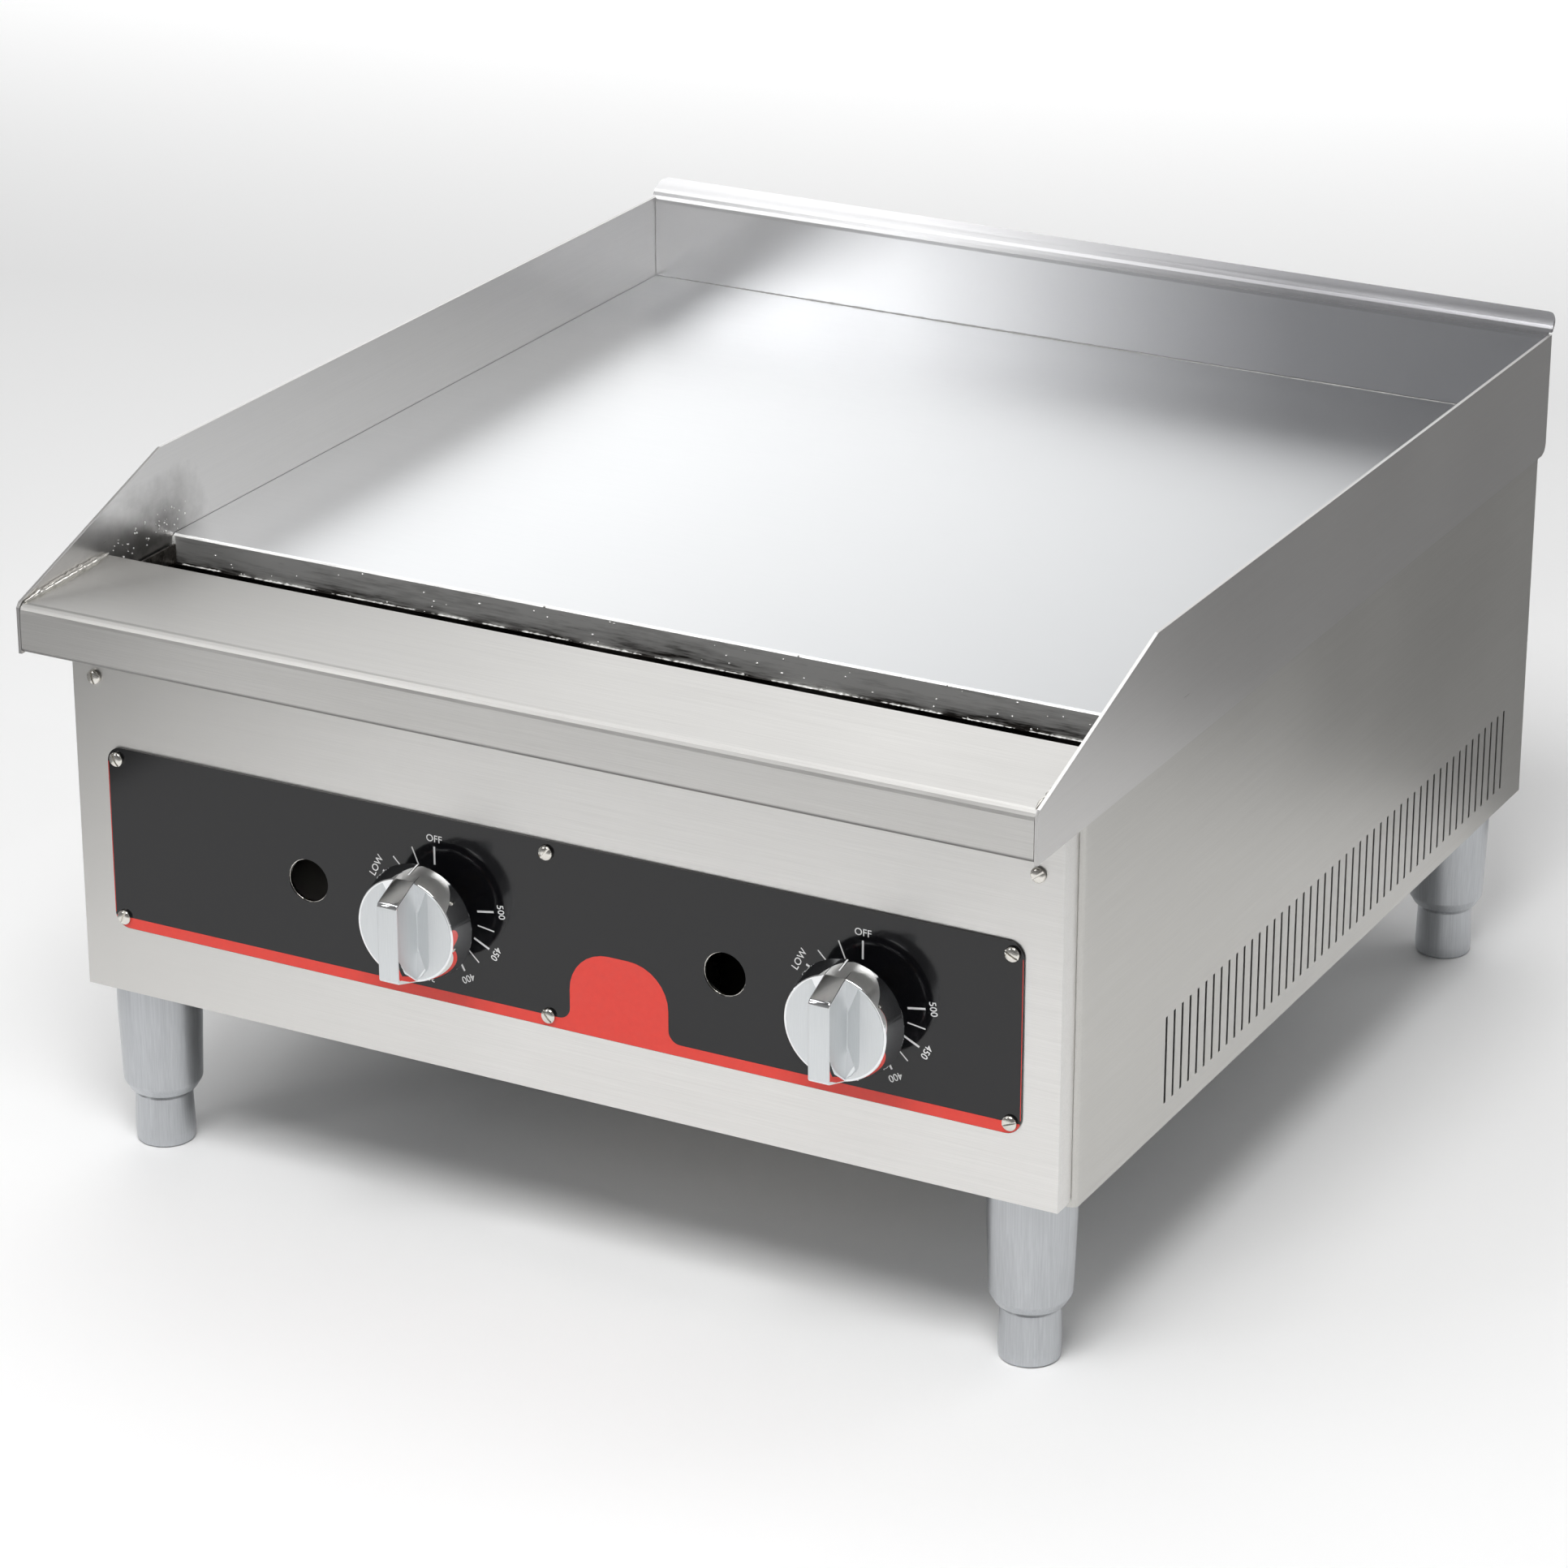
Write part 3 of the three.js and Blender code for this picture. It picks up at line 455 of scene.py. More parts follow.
def galvanised_material():
    made, build, shader, coords = material("galvanised_sheet", 0.45)
    cells = build.new("ShaderNodeTexVoronoi", Vector=coords, Scale=120)
    tone = build.new("ShaderNodeSeparateColor", Color=cells.outputs["Color"]).outputs[0]
    build.put(shader.inputs["Base Color"], build.mix(tone, (0.42, 0.44, 0.45), (0.62, 0.64, 0.65)))
    build.put(shader.inputs["Roughness"], build.math("MULTIPLY_ADD", tone, 0.2, 0.35))
    bump(build, shader, tone, 0.1, 0.0002)
    return made


def satin_material():
    """The pale satin finish on the faces of the knobs, drawn top to bottom."""
    made, build, shader, coords = material("satin_face", 0.42, 0.75)
    fine = build.noise(coords, 1, 2, 0.6, along("Z", 60, 2600))
    build.put(shader.inputs["Base Color"], build.mix(fine, (0.66, 0.685, 0.70), (0.78, 0.80, 0.81)))
    build.put(shader.inputs["Roughness"], build.math("MULTIPLY_ADD", fine, 0.12, 0.34))
    bump(build, shader, fine, 0.06, 0.0002)
    return made


STEEL_LIGHT = (0.70, 0.685, 0.66)
STEEL_DARK = (0.53, 0.515, 0.495)
# Name, axis of the grain, light and dark shade, roughness, weight of streaks and of clouds.
# All these sheets are one stainless steel. The panel, ledge, back guard and guards have lighter shades
# than the rear panel and tray: painted light, set sheet by sheet to how bright each one looks.
BRUSHED_FINISHES = {
    "panel": ("brushed_panel", "X", (0.88, 0.87, 0.85), (0.74, 0.73, 0.71), 0.34),
    "ledge": ("brushed_ledge", "X", (0.80, 0.79, 0.77), (0.66, 0.65, 0.63), 0.36, 1.0, 1.0, True),
    "guard": ("brushed_guard", "Y", (0.74, 0.73, 0.72), (0.60, 0.59, 0.58), 0.30, 0.35, 0.7),
    "back_guard": ("brushed_back_guard", "X", (0.84, 0.84, 0.85), (0.76, 0.76, 0.77), 0.25, 0.3, 0.6),
    "side": ("brushed_side", "Y", (0.68, 0.67, 0.645), (0.55, 0.54, 0.515), 0.35, 0.6),
    "rear": ("brushed_rear", "X", STEEL_LIGHT, STEEL_DARK, 0.36),
    "tray": ("brushed_tray", "Y", STEEL_LIGHT, STEEL_DARK, 0.32),
    "leg": ("satin_leg", "Z", (0.64, 0.655, 0.675), (0.44, 0.455, 0.475), 0.36, 1.0, 0.4),
}
# Name, light and dark shade, roughness, metal, scale of the grain and depth of its bump.
MOTTLED_FINISHES = {
    "interior": ("heated_sheet", (0.085, 0.078, 0.07), (0.035, 0.032, 0.03), 0.55, 1, 40, 0.2),
    "overlay": ("gloss_overlay", (0.006, 0.006, 0.007), (0.004, 0.004, 0.005), 0.10, 0, 300, 0.02),
    "red": ("red_print", (0.80, 0.050, 0.032), (0.72, 0.040, 0.026), 0.14, 0, 300, 0.02),
    "white": ("white_print", (0.86, 0.86, 0.86), (0.80, 0.80, 0.80), 0.25, 0, 300, 0.02),
    "chrome": ("polished_chrome", (0.86, 0.87, 0.88), (0.82, 0.83, 0.84), 0.03, 1, 60, 0),
    "nickel": ("nickel_screw", (0.78, 0.76, 0.71), (0.66, 0.64, 0.60), 0.17, 1, 700, 0.05),
    "iron": ("cast_iron", (0.10, 0.10, 0.10), (0.05, 0.048, 0.045), 0.62, 1, 160, 0.6),
    "pipe": ("black_pipe", (0.09, 0.09, 0.095), (0.045, 0.045, 0.05), 0.45, 1, 60, 0.3),
    "brass": ("machined_brass", (0.72, 0.56, 0.26), (0.60, 0.45, 0.20), 0.30, 1, 120, 0.15),
    "aluminium": ("drawn_aluminium", (0.74, 0.75, 0.76), (0.62, 0.63, 0.64), 0.36, 1, 90, 0.15),
    "joint": ("joint_grime", (0.52, 0.51, 0.50), (0.28, 0.275, 0.27), 0.45, 0.6, 220, 0.2),
    # The weld bead's pale colour is silvery weld metal with a painted highlight, so that it looks lit in
    # the shade of the trough.
    "bead": ("weld_bead_painted_glint", (0.90, 0.90, 0.88), (0.60, 0.60, 0.58), 0.30, 0.4, 500, 0.2),
}


def make_materials():
    made = {key: brushed(*finish) for key, finish in BRUSHED_FINISHES.items()}
    # Painted shade: the panel and the ledge's top grow darker towards the left, the back guard towards
    # the right.
    duller(made["panel"], -0.02, -0.30, (0.66, 0.65, 0.63))
    duller(made["ledge"], 0.02, -0.30, (0.42, 0.415, 0.40), above=LEDGE_BEND_Z)
    # Painted shade along the lower edge of the lip.
    darker_under(made["ledge"], LIP_TURN_Z)
    duller(made["back_guard"], -0.12, 0.14, (0.42, 0.42, 0.435))
    burnt_inside(made["guard"])
    made.update({key: mottled(*finish) for key, finish in MOTTLED_FINISHES.items()})
    made["plate"] = plate_material()
    made["grease"] = grease_material()
    made["satin"] = satin_material()
    made["galvanised"] = galvanised_material()
    return made


MATERIALS = make_materials()

# ---- Meshes ----


def piece(name, mesh, *materials, body="chassis", smooth=30, replaces=(), slot=None):
    """A new object that rides on a body. Faces that turn by more than smooth degrees keep a crease."""
    made = add_object(name, mesh)
    for key in materials:
        mesh.materials.append(MATERIALS[key])
    soften(mesh, smooth)
    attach(made, body)
    if replaces:
        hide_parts(*replaces)
    return made


def soften(mesh, angle):
    mesh.polygons.foreach_set("use_smooth", [True] * len(mesh.polygons))
    mesh.set_sharp_from_angle(angle=math.radians(angle))


def bevel(obj, width, segments=3, angle=50):
    modifier = obj.modifiers.new("bevel", "BEVEL")
    modifier.width = width
    modifier.segments = segments
    modifier.limit_method = "ANGLE"
    modifier.angle_limit = math.radians(angle)
    modifier.harden_normals = True


def mesh_from(bm, name):
    bmesh.ops.recalc_face_normals(bm, faces=bm.faces)
    mesh = bpy.data.meshes.new(name)
    bm.to_mesh(mesh)
    bm.free()
    return mesh


def lathe(bm, profile, sides, place):
    """Adds the solid of revolution of (radius, height) pairs. place turns (x, y, height) into a point."""
    rings = []
    for r, h in profile:
        if r < 1e-9:
            rings.append([bm.verts.new(place(0, 0, h))])
            continue
        turns = [2 * math.pi * i / sides for i in range(sides)]
        rings.append([bm.verts.new(place(r * math.cos(t), r * math.sin(t), h)) for t in turns])
    for lower, upper in zip(rings, rings[1:]):
        for i in range(sides):
            j = (i + 1) % sides
            below = [lower[i % len(lower)], lower[j % len(lower)]]
            above = [upper[j % len(upper)], upper[i % len(upper)]]
            unique = list(dict.fromkeys(below + above))
            if len(unique) > 2:
                bm.faces.new(unique)


def rounded(points, steps=6):
    """A chain of (a, b) or (a, b, radius) points with its corners rounded."""
    made = []
    for i, point in enumerate(points):
        if len(point) < 3 or i in (0, len(points) - 1):
            made.append(tuple(point[:2]))
            continue
        here, before, after = (Vector(p[:2]) for p in (point, points[i - 1], points[i + 1]))
        into, out = (before - here).normalized(), (after - here).normalized()
        half = into.angle(out) / 2
        reach = point[2] / math.tan(half)
        start, end = here + into * reach, here + out * reach
        for k in range(steps + 1):
            t = k / steps
            # A quadratic curve is close enough to the arc at these sizes.
            made.append(tuple(start * (1 - t) ** 2 + here * 2 * t * (1 - t) + end * t**2))
    return made


def plate_mesh(name, outline, y_front, thickness):
    """A thin plate with an XZ outline in metres, its front at y_front."""
    bm = bmesh.new()
    front = [bm.verts.new((x, y_front, z)) for x, z in outline]
    back = [bm.verts.new((x, y_front + thickness, z)) for x, z in outline]
    bm.faces.new(front)
    bm.faces.new(back[::-1])
    for i in range(len(outline)):
        j = (i + 1) % len(outline)
        bm.faces.new((front[i], back[i], back[j], front[j]))
    return mesh_from(bm, name)


def sheet_detail(name, bm, key, smooth):
    """A small piece that belongs to the stainless sheets."""
    piece(name, mesh_from(bm, name), key, smooth=smooth, slot="stainless_sheet")


# ---- CAD nodes that keep their shape ----

NODE_MATERIAL = {
    "griddle_plate": "plate",
    "left_splash_guard": "guard",
    "right_splash_guard": "guard",
    "back_splash_guard": "back_guard",
    "front_ledge": "ledge",
    "grease_trough": "grease",
    "grease_chute": "grease",
    "grease_tray": "tray",
    "control_panel": "panel",
    "control_overlay": "overlay",
    "left_side_panel": "side",
    "right_side_panel": "side",
    "rear_panel": "rear",
    "gas_manifold": "pipe",
    "gas_supply_pipe": "pipe",
    "pressure_regulator": "aluminium",
}
# For the other nodes the first ending that fits decides.
ENDING_MATERIAL = {
    "_rail": "galvanised",
    "_support": "galvanised",
    "firewall": "interior",
    "heat_shield": "interior",
    "_supply_tube": "aluminium",
    "_pilot_tube": "aluminium",
    "_sensing_bulb": "aluminium",
    "_orifice": "brass",
    "_pilot_burner": "brass",
    "_thermostat": "brass",
    "_stem": "brass",
    "_burner": "iron",
}
NODE_BEVEL = {
    "griddle_plate": 0.7 * MM,
    "control_overlay": 0.2 * MM,
    "rear_panel": 0.25 * MM,
    "control_panel": 1.0 * MM,
    "left_splash_guard": 0.4 * MM,
    "right_splash_guard": 0.4 * MM,
    "back_splash_guard": 0.5 * MM,
    "grease_tray": 0.3 * MM,
}


NODE_CREASE = 40


def dress_nodes():
    for name, obj in NODES.items():
        key = NODE_MATERIAL.get(name)
        if key is None:
            key = next((m for ending, m in ENDING_MATERIAL.items() if name.endswith(ending)), "nickel")
        obj.data.materials.clear()
        obj.data.materials.append(MATERIALS[key])
        soften(obj.data, NODE_CREASE)
        if name in NODE_BEVEL:
            bevel(obj, NODE_BEVEL[name])


# ---- Control strip ----

PANEL_Y = low("control_panel").y
OVERLAY_Y = low("control_overlay").y
OVERLAY_LOW, OVERLAY_HIGH = low("control_overlay"), high("control_overlay")
INK = 0.06 * MM
PRINT_INSET = 0.15 * MM
PRINT_X = OVERLAY_HIGH.x - PRINT_INSET
PRINT_Z = OVERLAY_LOW.z + PRINT_INSET
OVERLAY_CORNER = 9 * MM
STRIPE_TOP = PRINT_Z + 6.5 * MM
TAB_LEFT, TAB_RIGHT, TAB_TOP = 13 * MM, 73 * MM, 190 * MM
TAB_SHOULDER, TAB_FLARE = 24 * MM, 7 * MM
BORDER = 0.35 * MM
BORDER_GAP = 2 * MM
KNOB_AT = {side: middle(f"{side}_knob") for side in SIDES}
DIAL_Z = middle("left_thermostat_stem").z


def arc(x, z, r, start, end, steps=8):
    turns = [math.radians(start + (end - start) * i / steps) for i in range(steps + 1)]
    return [(x + r * math.cos(t), z + r * math.sin(t)) for t in turns]


def red_stripe():
    """The stripe along the foot of the overlay, with the tab that rises from it."""
    r = OVERLAY_CORNER - PRINT_INSET
    end_turn = math.degrees(math.asin((r - (STRIPE_TOP - PRINT_Z)) / r))
    outline = [
        *arc(r - PRINT_X, PRINT_Z + r, r, 180 + end_turn, 270),
        *arc(PRINT_X - r, PRINT_Z + r, r, 270, 360 - end_turn),
        *arc(TAB_RIGHT + TAB_FLARE, STRIPE_TOP + TAB_FLARE, TAB_FLARE, 270, 180),
        *arc(TAB_RIGHT - TAB_SHOULDER, TAB_TOP - TAB_SHOULDER, TAB_SHOULDER, 0, 90),
        *arc(TAB_LEFT + TAB_SHOULDER, TAB_TOP - TAB_SHOULDER, TAB_SHOULDER, 90, 180),
        *arc(TAB_LEFT - TAB_FLARE, STRIPE_TOP + TAB_FLARE, TAB_FLARE, 0, -90),
    ]
    mesh = plate_mesh("red_stripe", outline, OVERLAY_Y - INK, INK)
    piece("red_stripe", mesh, "red", slot="control_overlay")


def red_borders():
    bottom, top = STRIPE_TOP + BORDER_GAP, OVERLAY_HIGH.z - OVERLAY_CORNER
    for name, way in (("left_red_border", -1), ("right_red_border", 1)):
        edge, inner = way * PRINT_X, way * (PRINT_X - BORDER)
        outline = [(edge, bottom), (inner, bottom), (inner, top), (edge, top)]
        mesh = plate_mesh(name, outline, OVERLAY_Y - INK, INK)
        piece(name, mesh, "red", slot="control_overlay")


TICK_IN, TICK_OUT = 26.3 * MM, 36.7 * MM
SHORT_TICK_IN = TICK_OUT - 2.2 * MM
THICK_TICK, THIN_TICK = 1.15 * MM, 0.75 * MM
TEXT_FOOT, TEXT_HEIGHT = 39.4 * MM, 5.7 * MM
# Turns of the dial in degrees, anticlockwise from OFF at its top.
LOW_TURN = 63.5
FULL_TURN = 279.6
STEP = 17.9
FIRST_TICKS = (22.6, 45.2)
DIAL_WORDS = [(0, "OFF"), (LOW_TURN, "LOW")]
DIAL_WORDS += [(FULL_TURN - (500 - heat) / 25 * STEP, str(heat)) for heat in range(250, 501, 50)]


def dial_place(x, turn):
    """Places a flat drawing on the panel. Its +Y points out of the dial, turned anticlockwise."""
    face = Matrix(((1, 0, 0, x), (0, 0, -1, OVERLAY_Y), (0, 1, 0, DIAL_Z), (0, 0, 0, 1)))
    return face @ Matrix.Rotation(math.radians(turn), 4, "Z")


def word_mesh(word):
    curve = bpy.data.curves.new("word", "FONT")
    curve.body = word
    curve.size = TEXT_HEIGHT
    curve.align_x = "CENTER"
    curve.offset = 0.03 * MM
    curve.extrude = INK / 2
    curve.resolution_u = 4
    holder = add_object("word", curve)
    bpy.context.view_layer.update()
    mesh = bpy.data.meshes.new_from_object(holder)
    bpy.data.objects.remove(holder)
    bpy.data.curves.remove(curve)
    return mesh


def add_tick(bm, place, width, inner):
    half = width / 2
    corners = [(-half, inner), (half, inner), (half, TICK_OUT), (-half, TICK_OUT)]
    front = [bm.verts.new(place @ Vector((a, b, INK))) for a, b in corners]
    back = [bm.verts.new(place @ Vector((a, b, 0))) for a, b in corners]
    bm.faces.new(front)
    for i in range(4):
        bm.faces.new((front[i], back[i], back[i - 1], front[i - 1]))


def dial_marks():
    ticks = [(turn, THICK_TICK, TICK_IN) for turn, word in DIAL_WORDS if word != "LOW"]
    ticks += [(turn, THIN_TICK, TICK_IN) for turn in FIRST_TICKS]
    ticks += [(LOW_TURN, THICK_TICK, SHORT_TICK_IN)]
    ticks += [(FULL_TURN - k * STEP, THIN_TICK, TICK_IN) for k in range(1, 12, 2)]
    for side in SIDES:
        x = KNOB_AT[side].x
        bm = bmesh.new()
        for turn, width, inner in ticks:
            add_tick(bm, dial_place(x, turn), width, inner)
        for turn, word in DIAL_WORDS:
            mesh = word_mesh(word)
            mesh.transform(dial_place(x, turn) @ Matrix.Translation((0, TEXT_FOOT, INK / 2)))
            bm.from_mesh(mesh)
            bpy.data.meshes.remove(mesh)
        piece(f"{side}_dial_marks", mesh_from(bm, "dial_marks"), "white", slot="control_overlay")


def forward(x, z):
    """Places a lathe whose height runs forward from the panel."""
    return lambda a, b, h: (x + a, PANEL_Y - h, z + b)


LIGHTING_HOLE_X = {"left": -150.4 * MM, "right": 106.9 * MM}
RIM_OUTER, RIM_INNER = 12.9 * MM, 12.15 * MM
RIM_FRONT, RIM_BACK = 0.5 * MM, -1.4 * MM


def hole_rims():
    """Thin liners in the two lighting holes."""
    edge = rounded([(RIM_OUTER, RIM_FRONT), (RIM_INNER, RIM_FRONT, 0.2 * MM), (RIM_INNER, RIM_BACK)], 4)
    profile = [*edge, (RIM_OUTER, RIM_BACK), (RIM_OUTER, RIM_FRONT)]
    for side, x in LIGHTING_HOLE_X.items():
        bm = bmesh.new()
        lathe(bm, profile, 64, forward(x, DIAL_Z))
        bmesh.ops.remove_doubles(bm, verts=bm.verts, dist=1e-7)
        sheet_detail(f"{side}_lighting_hole_rim", bm, "nickel", 30)


# ---- Screws ----

# How far each slot is turned, in degrees.
SCREW_TURNS = {
    "overlay_screw_upper_left": 28,
    "overlay_screw_upper_middle": -38,
    "overlay_screw_upper_right": 62,
    "overlay_screw_lower_left": -24,
    "overlay_screw_lower_middle": 40,
    "overlay_screw_lower_right": -70,
    "panel_screw_left": 12,
    "panel_screw_right": -52,
}
SLOT_WIDTH, SLOT_DEPTH = 1.1 * MM, 1.3 * MM
CUTTER_DEPTH, CUTTER_LENGTH = 3 * MM, 12 * MM
HEAD_RADIUS, SHANK_RADIUS = 4.25 * MM, 2 * MM
HEAD_WALL, CROWN_HEIGHT = 0.8 * MM, 1.75 * MM
CROWN_STEPS = 12


def screw_mesh(x, z, back, front):
    """A pan head on its shank, before the slot is cut."""
    seat = front - HEAD_WALL - CROWN_HEIGHT
    profile = []
    for k in range(CROWN_STEPS + 1):
        t = k / CROWN_STEPS * math.pi / 2
        rise = CROWN_HEIGHT * math.cos(t) ** 0.9
        profile.append((HEAD_RADIUS * math.sin(t) ** 0.85, seat + HEAD_WALL + rise))
    profile += [(HEAD_RADIUS, seat), (SHANK_RADIUS, seat), (SHANK_RADIUS, back), (0, back)]
    bm = bmesh.new()
    lathe(bm, profile, 40, forward(x, z))
    return mesh_from(bm, "screw")


def slot_cutter(x, z, front, turn):
    bm = bmesh.new()
    bmesh.ops.create_cube(bm, size=1)
    size = Matrix.Diagonal((SLOT_WIDTH, CUTTER_DEPTH, CUTTER_LENGTH, 1))
    turned = Matrix.Rotation(math.radians(-turn), 4, "Y")
    y = PANEL_Y - front + SLOT_DEPTH - CUTTER_DEPTH / 2
    place = Matrix.Translation((x, y, z)) @ turned @ size
    bmesh.ops.transform(bm, matrix=place, verts=bm.verts)
    return mesh_from(bm, "slot_cutter")


def cut_away(obj, cutter_mesh):
    """Takes the cutter's shape out of obj for good."""
    cutter = add_object("cutter", cutter_mesh)
    modifier = obj.modifiers.new("cut", "BOOLEAN")
    modifier.operation = "DIFFERENCE"
    modifier.solver = "EXACT"
    modifier.object = cutter
    bpy.context.view_layer.update()
    made = bpy.data.meshes.new_from_object(obj.evaluated_get(bpy.context.evaluated_depsgraph_get()))
    obj.modifiers.clear()
    obj.data = made
    bpy.data.objects.remove(cutter)


def screws():
    for name, turn in SCREW_TURNS.items():
        at = middle(name)
        front, back = PANEL_Y - low(name).y, PANEL_Y - high(name).y
        mesh = screw_mesh(at.x, at.z, back, front)
        made = piece(f"{name}_head", mesh, "nickel", replaces=[name], slot="screws")
        cut_away(made, slot_cutter(at.x, at.z, front, turn))
        soften(made.data, 32)


# ---- Knobs ----

# Distances forward from the panel, and radii of the skirt.
KNOB_BACK, KNOB_FACE, KNOB_FRONT = 17.6 * MM, 32.4 * MM, 50 * MM
SKIRT_BACK, SKIRT_FRONT = 32.85 * MM, 29.1 * MM
FACE_RADIUS = SKIRT_FRONT - 0.9 * MM
FACE_COLUMNS, FACE_ROWS = 36, 48
GRIP_HALF, GRIP_EDGE = 6.2 * MM, 0.8 * MM
GROOVE_END, GROOVE_DEPTH = 14.5 * MM, 2.0 * MM
RUNOUT_FROM, RUNOUT = -27 * MM, 13 * MM


def knob_piece(side, name, bm, *materials, **more):
    mesh = mesh_from(bm, name)
    piece(f"{side}_knob_{name}", mesh, *materials, body=f"{side}_knob", slot="knobs", **more)


def knob_skirt(side, x, z):
    """The polished cone, hollow behind its rim."""
    profile = rounded(
        [
            (6 * MM, KNOB_BACK + 1 * MM),
            (27 * MM, KNOB_BACK + 1 * MM, 0.5 * MM),
            (28.5 * MM, KNOB_BACK, 0.4 * MM),
            (SKIRT_BACK, KNOB_BACK, 0.7 * MM),
            (SKIRT_FRONT + 0.25 * MM, KNOB_FACE - 0.1 * MM, 0.7 * MM),
            (SKIRT_FRONT - 1.1 * MM, KNOB_FACE - 0.3 * MM),
        ],
        5,
    )
    profile = [(0, KNOB_BACK + 1 * MM), *profile, (0, KNOB_FACE - 3 * MM)]
    bm = bmesh.new()
    lathe(bm, profile, 128, forward(x, z))
    knob_piece(side, "skirt", bm, "chrome", replaces=[f"{side}_knob"])


def groove(a, b):
    """How far the face lies below its rim at a across and b up."""
    across = abs(a)
    if across >= GROOVE_END:
        return 0
    depth = GROOVE_DEPTH * (GROOVE_END - across) / (GROOVE_END - GRIP_HALF)
    # The groove runs out in a curve towards the bottom.
    share = (b - RUNOUT_FROM) / RUNOUT
    limit = GROOVE_END - (GROOVE_END - GRIP_HALF) * max(0, 1 - share) ** 2
    return min(depth, GROOVE_DEPTH) if across < limit else 0


def knob_face(side, x, z):
    """The satin disc, with the shallow grooves beside the grip."""
    even = [k / FACE_COLUMNS * FACE_RADIUS for k in range(-FACE_COLUMNS, FACE_COLUMNS + 1)]
    edges = [way * a for way in (-1, 1) for a in (GROOVE_END, GRIP_HALF)]
    bm = bmesh.new()
    grid = []
    for a in sorted({*even, *edges}):
        reach = math.sqrt(max(FACE_RADIUS**2 - a * a, 0))
        rises = [reach * math.sin((k / FACE_ROWS - 0.5) * math.pi) for k in range(FACE_ROWS + 1)]
        grid.append([bm.verts.new((x + a, PANEL_Y - KNOB_FACE + groove(a, b), z + b)) for b in rises])
    for left, right in zip(grid, grid[1:]):
        for k in range(FACE_ROWS):
            bm.faces.new((left[k], right[k], right[k + 1], left[k + 1]))
    bmesh.ops.remove_doubles(bm, verts=bm.verts, dist=1e-6)
    # A short wall behind the disc's edge closes the gap to the skirt.
    rim = [e for e in bm.edges if e.is_boundary]
    for made in bmesh.ops.extrude_edge_only(bm, edges=rim)["geom"]:
        if isinstance(made, bmesh.types.BMVert):
            made.co.y = PANEL_Y - KNOB_FACE + 2.6 * MM
    knob_piece(side, "face", bm, "satin", smooth=4)


# The grip's outline seen from the side: (up, forward), from the top of the disc round to its foot.
GRIP_OUTLINE = [
    (30.6 * MM, 26 * MM),
    (29.35 * MM, 32.2 * MM, 4 * MM),
    (21.5 * MM, KNOB_FRONT, 3.4 * MM),
    (-23.5 * MM, KNOB_FRONT, 2.2 * MM),
    (-28.9 * MM, KNOB_FACE, 1.0 * MM),
    (-29.6 * MM, KNOB_FACE - 3 * MM),
]
# Below this line the flanks of the grip are polished, above it they are satin.
SATIN_TO = [(-9 * MM, KNOB_FRONT), (-16 * MM, 45 * MM), (-22 * MM, 39 * MM), (-27.4 * MM, KNOB_FACE)]


def is_satin(up, deep):
    """Whether a point of a flank lies on its satin part."""
    for (z0, d0), (z1, d1) in zip(SATIN_TO, SATIN_TO[1:]):
        if d1 <= deep <= d0:
            return up > z0 + (z1 - z0) * (d0 - deep) / (d0 - d1)
    return up > SATIN_TO[-1][0]


def outward(outline, centre):
    """The unit normals of an outline, away from its centre."""
    last = len(outline) - 1
    normals = []
    for i, point in enumerate(outline):
        run = (outline[min(i + 1, last)] - outline[max(i - 1, 0)]).normalized()
        normal = Vector((-run.y, run.x))
        normals.append(normal if normal.dot(point - centre) > 0 else -normal)
    return normals


def is_flank(face):
    return abs(face.normal.x) > 0.99


def split_flanks(bm, x, z):
    """Cuts the flanks along the satin's edge and gives each side of it its own material."""
    for (z0, d0), (z1, d1) in zip(SATIN_TO, SATIN_TO[1:]):
        normal = Vector((0, d0 - d1, z1 - z0)).cross(Vector((1, 0, 0)))
        flanks = [f for f in bm.faces if is_flank(f) or len(f.verts) > 8]
        edges, corners = {e for f in flanks for e in f.edges}, {v for f in flanks for v in f.verts}
        point = (x, PANEL_Y - d0, z + z0)
        bmesh.ops.bisect_plane(bm, geom=[*flanks, *edges, *corners], plane_co=point, plane_no=normal)
    bmesh.ops.recalc_face_normals(bm, faces=bm.faces)
    for face in filter(is_flank, bm.faces):
        centre = face.calc_center_median()
        face.material_index = 0 if is_satin(centre.z - z, PANEL_Y - centre.y) else 1


def knob_grip(side, x, z):
    """The raised bar: satin on its front and flanks, polished round its top and its foot."""
    outline = [Vector(p) for p in rounded(GRIP_OUTLINE, 10)]
    normals = outward(outline, Vector((0, 36 * MM)))
    # The long edges are rounded in a quarter turn: each step goes in across and out forward.
    turns = [math.radians(a) for a in (0, 30, 60, 90)]
    steps = [(GRIP_HALF - GRIP_EDGE * (1 - math.cos(t)), GRIP_EDGE * (1 - math.sin(t))) for t in turns]
    sections = [(-half, inset) for half, inset in steps] + [(half, inset) for half, inset in steps[::-1]]
    bm = bmesh.new()
    lines = []
    for a, inset in sections:
        places = [p - n * inset for p, n in zip(outline, normals)]
        lines.append([bm.verts.new((x + a, PANEL_Y - q.y, z + q.x)) for q in places])
    for left, right in zip(lines, lines[1:]):
        for k in range(len(outline) - 1):
            face = bm.faces.new((left[k], right[k], right[k + 1], left[k + 1]))
            deep = (outline[k].y + outline[k + 1].y) / 2
            face.material_index = 0 if deep > KNOB_FRONT - 0.05 * MM else 1
    for flank in (lines[0], lines[-1]):
        bm.faces.new(flank)
    bm.faces.new([line[-1] for line in lines])
    bm.faces.new([line[0] for line in lines])
    split_flanks(bm, x, z)
    knob_piece(side, "grip", bm, "satin", "chrome", smooth=35)


CREASE_RADIUS = 0.42 * MM
CREASE_LOW, CREASE_HIGH = -27.2 * MM, 27.6 * MM


